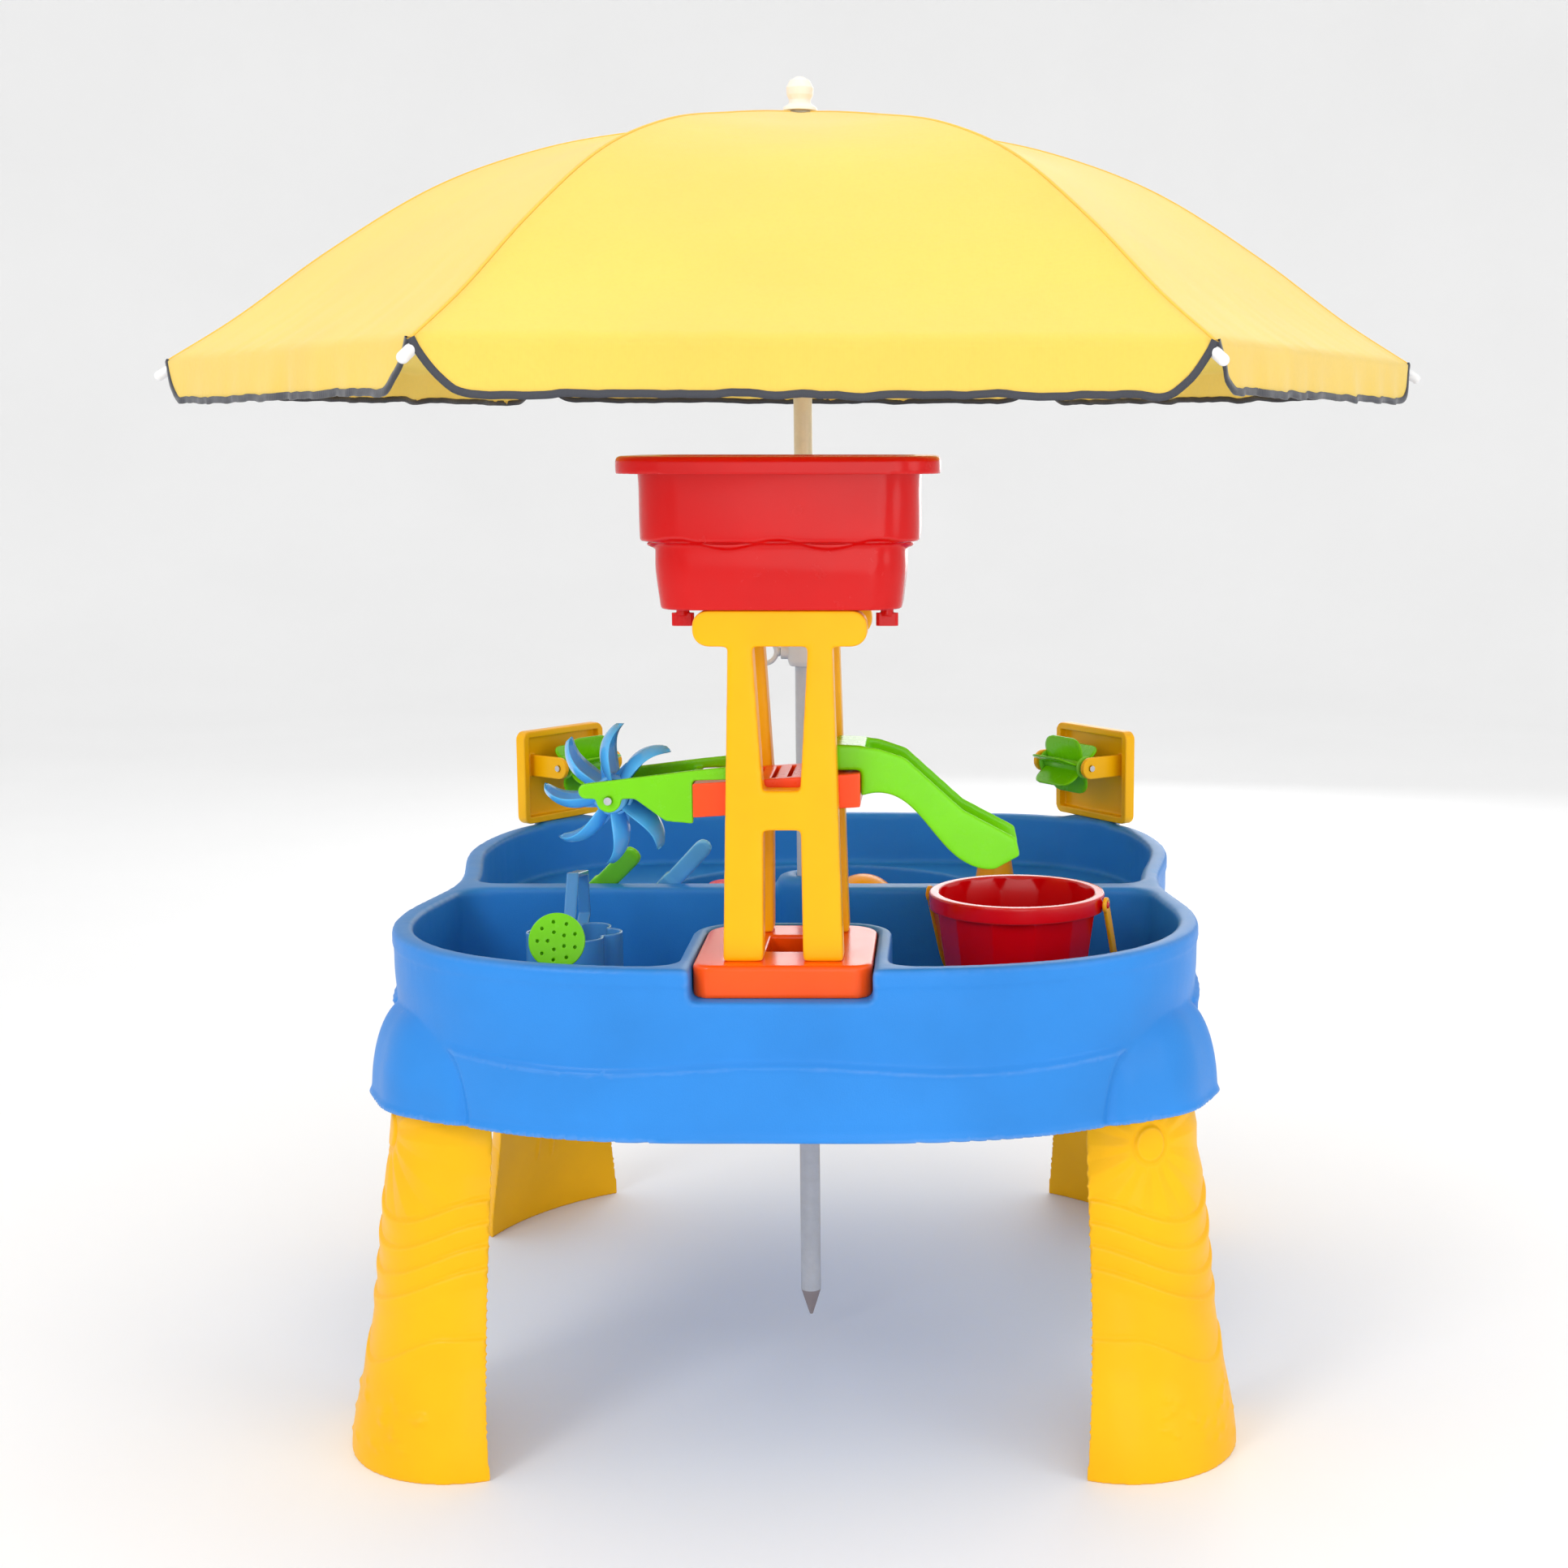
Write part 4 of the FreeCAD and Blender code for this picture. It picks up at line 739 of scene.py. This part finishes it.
def make_tower():
    moulded("tower_base", "orange_base", voxel=1.2, rounds=9, faces=50000)
    for name in ("tower_front_frame", "tower_back_frame"):
        moulded(name, "yellow_tower", voxel=1.15, rounds=26, faces=60000)
    moulded("connector", "orange_connector", voxel=0.8, rounds=4, faces=50000)
    moulded("wheel_cradle", "green_chute", voxel=0.9, rounds=16, faces=50000)
    moulded("slide_chute", "green_chute", voxel=0.9, rounds=40, faces=60000)
    moulded("basin", "red_basin", voxel=1.2, rounds=7, faces=120000, relief=basin_relief)
    for side in ("left", "right"):
        moulded("drain_plug_" + side, "red_plug", voxel=0.5, rounds=4, faces=12000)


# ---------------------------------------------------------------- wheels

def tube_mesh(radius_inner, radius_outer, half, sides=40):
    """A short hub round the Y axis with rounded ends."""
    profile = [(radius_inner, -half), (radius_outer - 1.2, -half), (radius_outer, -half + 1.2),
               (radius_outer, half - 1.2), (radius_outer - 1.2, half), (radius_inner, half)]
    vertices = []
    for index in range(sides):
        angle = 2.0 * math.pi * index / sides
        for radius, y in profile:
            vertices.append(Vector((radius * math.cos(angle), y, radius * math.sin(angle))))
    count = len(profile)
    faces = []
    for index in range(sides):
        following = (index + 1) % sides
        for row in range(count):
            below = (row + 1) % count
            faces.append((index * count + row, index * count + below,
                          following * count + below, following * count + row))
    return vertices, faces


def slab_mesh(surface, rows, columns, thick):
    """A closed curved plate: surface(u, v) gives a point and its normal, u and v from 0 to 1."""
    front, back = [], []
    for row in range(rows):
        for column in range(columns):
            point, normal = surface(row / (rows - 1), column / (columns - 1))
            rim = min(row, rows - 1 - row, column, columns - 1 - column)
            half = thick * (0.5 if rim else 0.28)
            front.append(point + normal * half)
            back.append(point - normal * half)
    count = rows * columns
    faces = grid(rows, columns)
    faces += [tuple(index + count for index in reversed(face)) for face in grid(rows, columns)]
    border = [column for column in range(columns)]
    border += [row * columns + columns - 1 for row in range(1, rows)]
    border += [(rows - 1) * columns + column for column in range(columns - 2, -1, -1)]
    border += [row * columns for row in range(rows - 2, 0, -1)]
    for index, corner in enumerate(border):
        following = border[(index + 1) % len(border)]
        faces.append((following, corner, corner + count, following + count))
    return front + back, faces


def placed(mesh, matrix):
    vertices, faces = mesh
    return [matrix @ vertex for vertex in vertices], faces


def scoop_surface(reach, half_width):
    """A water wheel's blade: it bends forwards towards its tip, is dished across and ends in a soft point."""
    def surface(u, v):
        radius = 9.0 + (reach - 9.0) * u
        bend = math.radians(-27.0) * u ** 2.3
        wide = half_width * (0.86 + 0.14 * math.sin(math.pi * min(1.0, 1.4 * u)))
        wide *= math.sqrt(max(0.0, 1.0 - max(0.0, (u - 0.42) / 0.58) ** 2.6)) * 0.93 + 0.07
        across = 2.0 * v - 1.0
        dish = -9.0 * across ** 2 * math.sin(math.pi * min(1.0, 0.15 + 0.70 * u)) ** 0.8
        point = Vector((radius * math.cos(bend) - dish * math.sin(bend), across * wide,
                        radius * math.sin(bend) + dish * math.cos(bend)))
        normal = Vector((-math.sin(bend), -0.35 * across, math.cos(bend))).normalized()
        return point, normal
    return surface


def make_water_wheel():
    low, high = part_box("water_wheel")
    middle = (low + high) / 2 / MM
    half = (high.y - low.y) / 2 / MM
    reach = (high.x - low.x) / 2 / MM
    parts = [tube_mesh(3.2, 12.0, half), tube_mesh(13.0, 15.2, half * 0.62)]
    for index in range(8):
        turn = Matrix.Rotation(math.radians(-45.0 * index - 24.0), 4, "Y")
        parts.append(placed(slab_mesh(scoop_surface(reach + 0.5, half - 0.5), 26, 13, 2.0), turn))

        def web(u, v, span=math.radians(45.0)):
            angle = span * v
            dip = 1.0 - 0.42 * math.sin(math.pi * v)
            radius = 11.0 + (26.0 * dip - 11.0) * u
            return Vector((radius * math.cos(angle), 0, radius * math.sin(angle))), Vector((0, 1, 0))

        parts.append(placed(slab_mesh(web, 6, 14, 2.2), turn))
    wheel = joined("water_wheel_skin", [placed(part, Matrix.Translation(middle)) for part in parts])
    wheel.data.transform(Matrix.Scale(MM, 4))
    dress(wheel, "blue_wheel", "water_wheel", ("water_wheel",))


def paddle_surface(half_length, root, tip, corner):
    """A flat paddle with rounded outer corners and a slightly curled tip."""
    def surface(u, v):
        reach = root + (tip - root) * u
        past = max(0.0, (reach - (tip - corner)) / corner)
        half = half_length - corner * (1.0 - math.sqrt(max(0.0, 1.0 - past ** 2)))
        curl = 2.6 * u ** 2
        return Vector(((2.0 * v - 1.0) * half, curl, reach)), Vector((0, 1, 0))
    return surface


def make_small_wheels():
    for word in ("left", "right"):
        name = "small_wheel_" + word
        axis = Vector(next(j for j in frame["joints"] if j["name"] == name + "_spin")["axis"])
        low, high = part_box("small_axle_" + word)
        middle = (low + high) / 2
        along = axis.normalized()
        up = Vector((0, 0, 1))
        across = up.cross(along).normalized()
        basis = Matrix((along, across, up)).transposed().to_4x4()
        quarter = Matrix.Rotation(math.radians(90.0), 4, "Z")
        parts = [placed(tube_mesh(3.2, 6.6, 31.0), quarter)]
        for x in (-30.0, 30.0):
            parts.append(placed(tube_mesh(3.2, 11.5, 1.3), Matrix.Translation((x, 0, 0)) @ quarter))
        for index in range(6):
            turn = Matrix.Rotation(math.radians(60.0 * index + 15.0), 4, "X")
            parts.append(placed(slab_mesh(paddle_surface(29.0, 5.0, 29.0, 13.0), 18, 19, 2.2), turn))
        wheel = joined(name + "_skin", parts)
        wheel.data.transform(Matrix.Translation(middle) @ basis @ Matrix.Scale(MM, 4))
        dress(wheel, "green_wheel", BODY_OF[name], (name,))


# ---------------------------------------------------------------- toys

def rounded_bar(path, widths, depths, side):
    """A bar of rounded-rectangle section along a path of points, mm; side is its wide direction."""
    rings = []
    for index, point in enumerate(path):
        before = path[max(index - 1, 0)]
        after = path[min(index + 1, len(path) - 1)]
        tangent = (after - before).normalized()
        wide = (side - tangent * side.dot(tangent)).normalized()
        deep = tangent.cross(wide).normalized()
        ring = []
        for step in range(24):
            angle = 2.0 * math.pi * step / 24
            cosine, sine = math.cos(angle), math.sin(angle)
            square = (abs(cosine) ** 5 + abs(sine) ** 5) ** (-1.0 / 5.0)
            ring.append(point + wide * (cosine * square * widths[index])
                        + deep * (sine * square * depths[index]))
        rings.append(ring)
    vertices = [vertex for ring in rings for vertex in ring]
    faces = grid(len(rings), 24, wrap=True)
    faces.append(tuple(range(23, -1, -1)))
    last = (len(rings) - 1) * 24
    faces.append(tuple(range(last, last + 24)))
    return vertices, faces


def make_hand_tool(name, finish, foot, tip, head, blade_half, blade_length, teeth, grip_half):
    """A beach tool: a flat stepped grip, a bent neck and a dished blade or toothed head."""
    foot, tip = Vector(foot), Vector(tip)
    along = (tip - foot).normalized()
    length = (tip - foot).length
    side = along.cross(Vector((0, 1, 0))).normalized()
    path, widths, depths = [], [], []
    for step in range(41):
        share = step / 40
        path.append(foot + along * length * share)
        grip = float(smoothstep(0.50, 0.54, share) * (1 - smoothstep(0.96, 1.06, share)))
        end = math.sqrt(max(0.0, 1.0 - max(0.0, (share - 0.90) / 0.10) ** 2))
        wide = grip_half + 1.3 * (1.0 - grip) * float(smoothstep(0.0, 0.2, share))
        widths.append(wide * (0.25 + 0.75 * end))
        depths.append((3.2 + 1.6 * (1.0 - grip)) * (0.35 + 0.65 * end))
    parts = [rounded_bar(path, widths, depths, side)]
    hx, hy = head
    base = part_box(name)[0].z / MM + 2.4
    neck = [foot + along * 4.0, foot, foot.lerp(Vector((hx, hy + 6, base)), 0.5),
            Vector((hx, hy + 6, base + 0.6)), Vector((hx, hy + 16, base + 0.4))]
    parts.append(rounded_bar(neck, [6.5, 7.0, 7.5, 8.5, 7.0], [3.6, 3.8, 3.4, 2.4, 1.4], side))

    def blade(u, v):
        across = 2.0 * v - 1.0
        wide = blade_half * (0.55 + 0.45 * float(smoothstep(0.0, 0.35, u)))
        wide *= 1.0 - 0.35 * float(smoothstep(0.75, 1.0, u)) * (0 if teeth else 1)
        lift = 5.0 * abs(across) ** 3 + 2.0 * (1.0 - u) ** 2
        return Vector((hx + across * wide, hy + blade_length * u, base + lift)), Vector((0, 0, 1))

    parts.append(slab_mesh(blade, 24, 25, 2.2))
    for index in range(teeth):
        x = hx + blade_half * (2.0 * index / (teeth - 1) - 1.0) * 0.86
        tooth = [Vector((x, hy + blade_length + beyond, base + lift))
                 for beyond, lift in ((-6, 1.5), (1, 0.6), (5, -0.6))]
        parts.append(rounded_bar(tooth, [3.0, 2.8, 1.6], [1.8, 1.6, 1.0], Vector((1, 0, 0))))
    for share in (0.10, 0.42):
        spot = foot + along * length * share
        panel = [spot + along * offset for offset in (-3.0, 0.0, 3.0)]
        top = along.cross(side).normalized()
        if top.z < 0:
            top = -top
        raised = [point + top * 4.2 for point in panel]
        parts.append(rounded_bar(raised, [4.4, 5.0, 4.4], [0.8, 1.0, 0.8], side))
    tool = joined(name + "_skin", parts)
    tool.data.transform(Matrix.Scale(MM, 4))
    remesh = tool.modifiers.new("remesh", "REMESH")
    remesh.mode = "VOXEL"
    remesh.voxel_size = 0.7 * MM
    smooth(tool, 3)
    bake(tool)
    thin_out(tool, 24000)
    dress(tool, finish, BODY_OF[name], (name,))


def make_toys():
    moulded("bucket", "red_bucket", voxel=1.0, rounds=5, faces=80000)
    moulded("bucket_handle", "yellow_bail", voxel=0.7, rounds=5, faces=30000)
    moulded("watering_can", "can_blue", voxel=0.9, rounds=5, faces=70000)
    moulded("can_rose", "can_green", voxel=0.55, rounds=3, faces=40000)
    make_hand_tool("shovel", "green_tool", (-222, 74, 371), (-149, -12, 448), (-232, 92), 26, 54, 0, 9.0)
    make_hand_tool("rake", "blue_tool", (-160, 74, 371), (-85, -20, 457), (-166, 92), 22, 30, 4, 7.6)
    moulded("mould_orange", "mould_orange", voxel=0.9, rounds=8, faces=20000)
    moulded("mould_dome", "mould_yellow", voxel=0.9, rounds=6, faces=20000)
    moulded("mould_small", "mould_yellow", voxel=0.7, rounds=6, faces=12000)


# ---------------------------------------------------------------- plain CAD parts

def finish_cad_parts():
    """Parts whose CAD shape is right keep it and get a finish."""
    slots = {entry["slot"] for entry in frame["record"]["materials"]}
    by_node = {
        "leg_screws": "screw_steel", "wheel_axle": "axle_steel", "small_axle_left": "axle_steel",
        "small_axle_right": "axle_steel", "lower_pole": "pole_grey", "upper_pole": "pole_ivory",
        "ground_spike": "spike_grey", "crown": "hub_white", "runner": "hub_white",
    }
    for index in range(1, 7):
        by_node["rib_%d" % index] = "rib_steel"
        by_node["strut_%d" % index] = "rib_steel"
        by_node["rib_tip_%d" % index] = "tip_white"
    for name, finish in by_node.items():
        mesh = frame["nodes"][name].data
        mesh.materials.clear()
        mesh.materials.append(FINISHES[finish])
        assert finish in slots


def make_fittings():
    for side in ("left", "right"):
        moulded("panel_" + side, "yellow_panel", voxel=0.9, rounds=6, faces=50000)
    moulded("clamp_collar", "clamp_white", voxel=0.5, rounds=4, faces=20000)
    moulded("clamp_screw", "clamp_white", voxel=0.4, rounds=3, faces=16000)
    moulded("finial", "finial_cream", voxel=0.5, rounds=8, faces=12000)


# ---------------------------------------------------------------- studio

def make_studio():
    """A pale round floor that curves up all round, a white sky and five broad soft lights."""
    material, tree, shader = start_material("studio_floor")
    place = node(tree, "TexCoord").outputs["Object"]
    cloud = noise_at(tree, place, 1.5)
    tone = ramp(tree, cloud, [(0.3, (0.90, 0.90, 0.90, 1)), (0.7, (0.92, 0.92, 0.92, 1))])
    tree.links.new(tone, shader.inputs["Base Color"])
    shader.inputs["Roughness"].default_value = 0.7
    profile = [(0.0, 0.0), (2.5, 0.0), (5.0, 0.0)]
    profile += [(5.0 + 2.5 * math.sin(a), 2.5 - 2.5 * math.cos(a)) for a in np.linspace(0.1, math.pi / 2, 16)]
    profile.append((7.5, 5.0))
    sides = 96
    vertices = []
    for radius, z in profile:
        for index in range(sides):
            angle = 2.0 * math.pi * index / sides
            vertices.append((radius * math.cos(angle), radius * math.sin(angle), z))
    floor = mesh_piece("studio_bowl", vertices, grid(len(profile), sides, wrap=True))
    floor.data.materials.append(material)
    floor.data.polygons.foreach_set("use_smooth", [True] * len(floor.data.polygons))
    world = bpy.data.worlds.new("studio_sky")
    world.use_nodes = True
    world.node_tree.nodes["Background"].inputs["Color"].default_value = (1.0, 1.0, 1.0, 1.0)
    world.node_tree.nodes["Background"].inputs["Strength"].default_value = 0.96
    bpy.context.scene.world = world
    for name, place, aim, size, power in (
        ("key", (-1.7, -2.5, 2.2), (0, 0, 0.5), 1.2, 24.0),
        ("fill", (2.6, -2.0, 1.1), (0, 0, 0.5), 1.6, 12.0),
        ("overhead", (0.2, -0.2, 3.3), (0, 0, 0.6), 2.2, 14.0),
        ("low", (0.4, -2.6, 0.75), (0, 0, 0.5), 1.4, 9.0),
        ("back", (0.6, 3.0, 1.4), (0, 0, 0.5), 2.0, 16.0),
    ):
        light = bpy.data.lights.new(name, "AREA")
        light.shape = "DISK"
        light.size = size
        light.energy = power
        lamp = bpy.data.objects.new(name, light)
        lamp.location = place
        lamp.rotation_euler = (Vector(aim) - Vector(place)).to_track_quat("-Z", "Y").to_euler()
        bpy.context.scene.collection.objects.link(lamp)


make_camera()
make_studio()
make_tray()
make_legs()
make_tower()
make_water_wheel()
make_small_wheels()
make_toys()
make_fittings()
make_canopy()
finish_cad_parts()
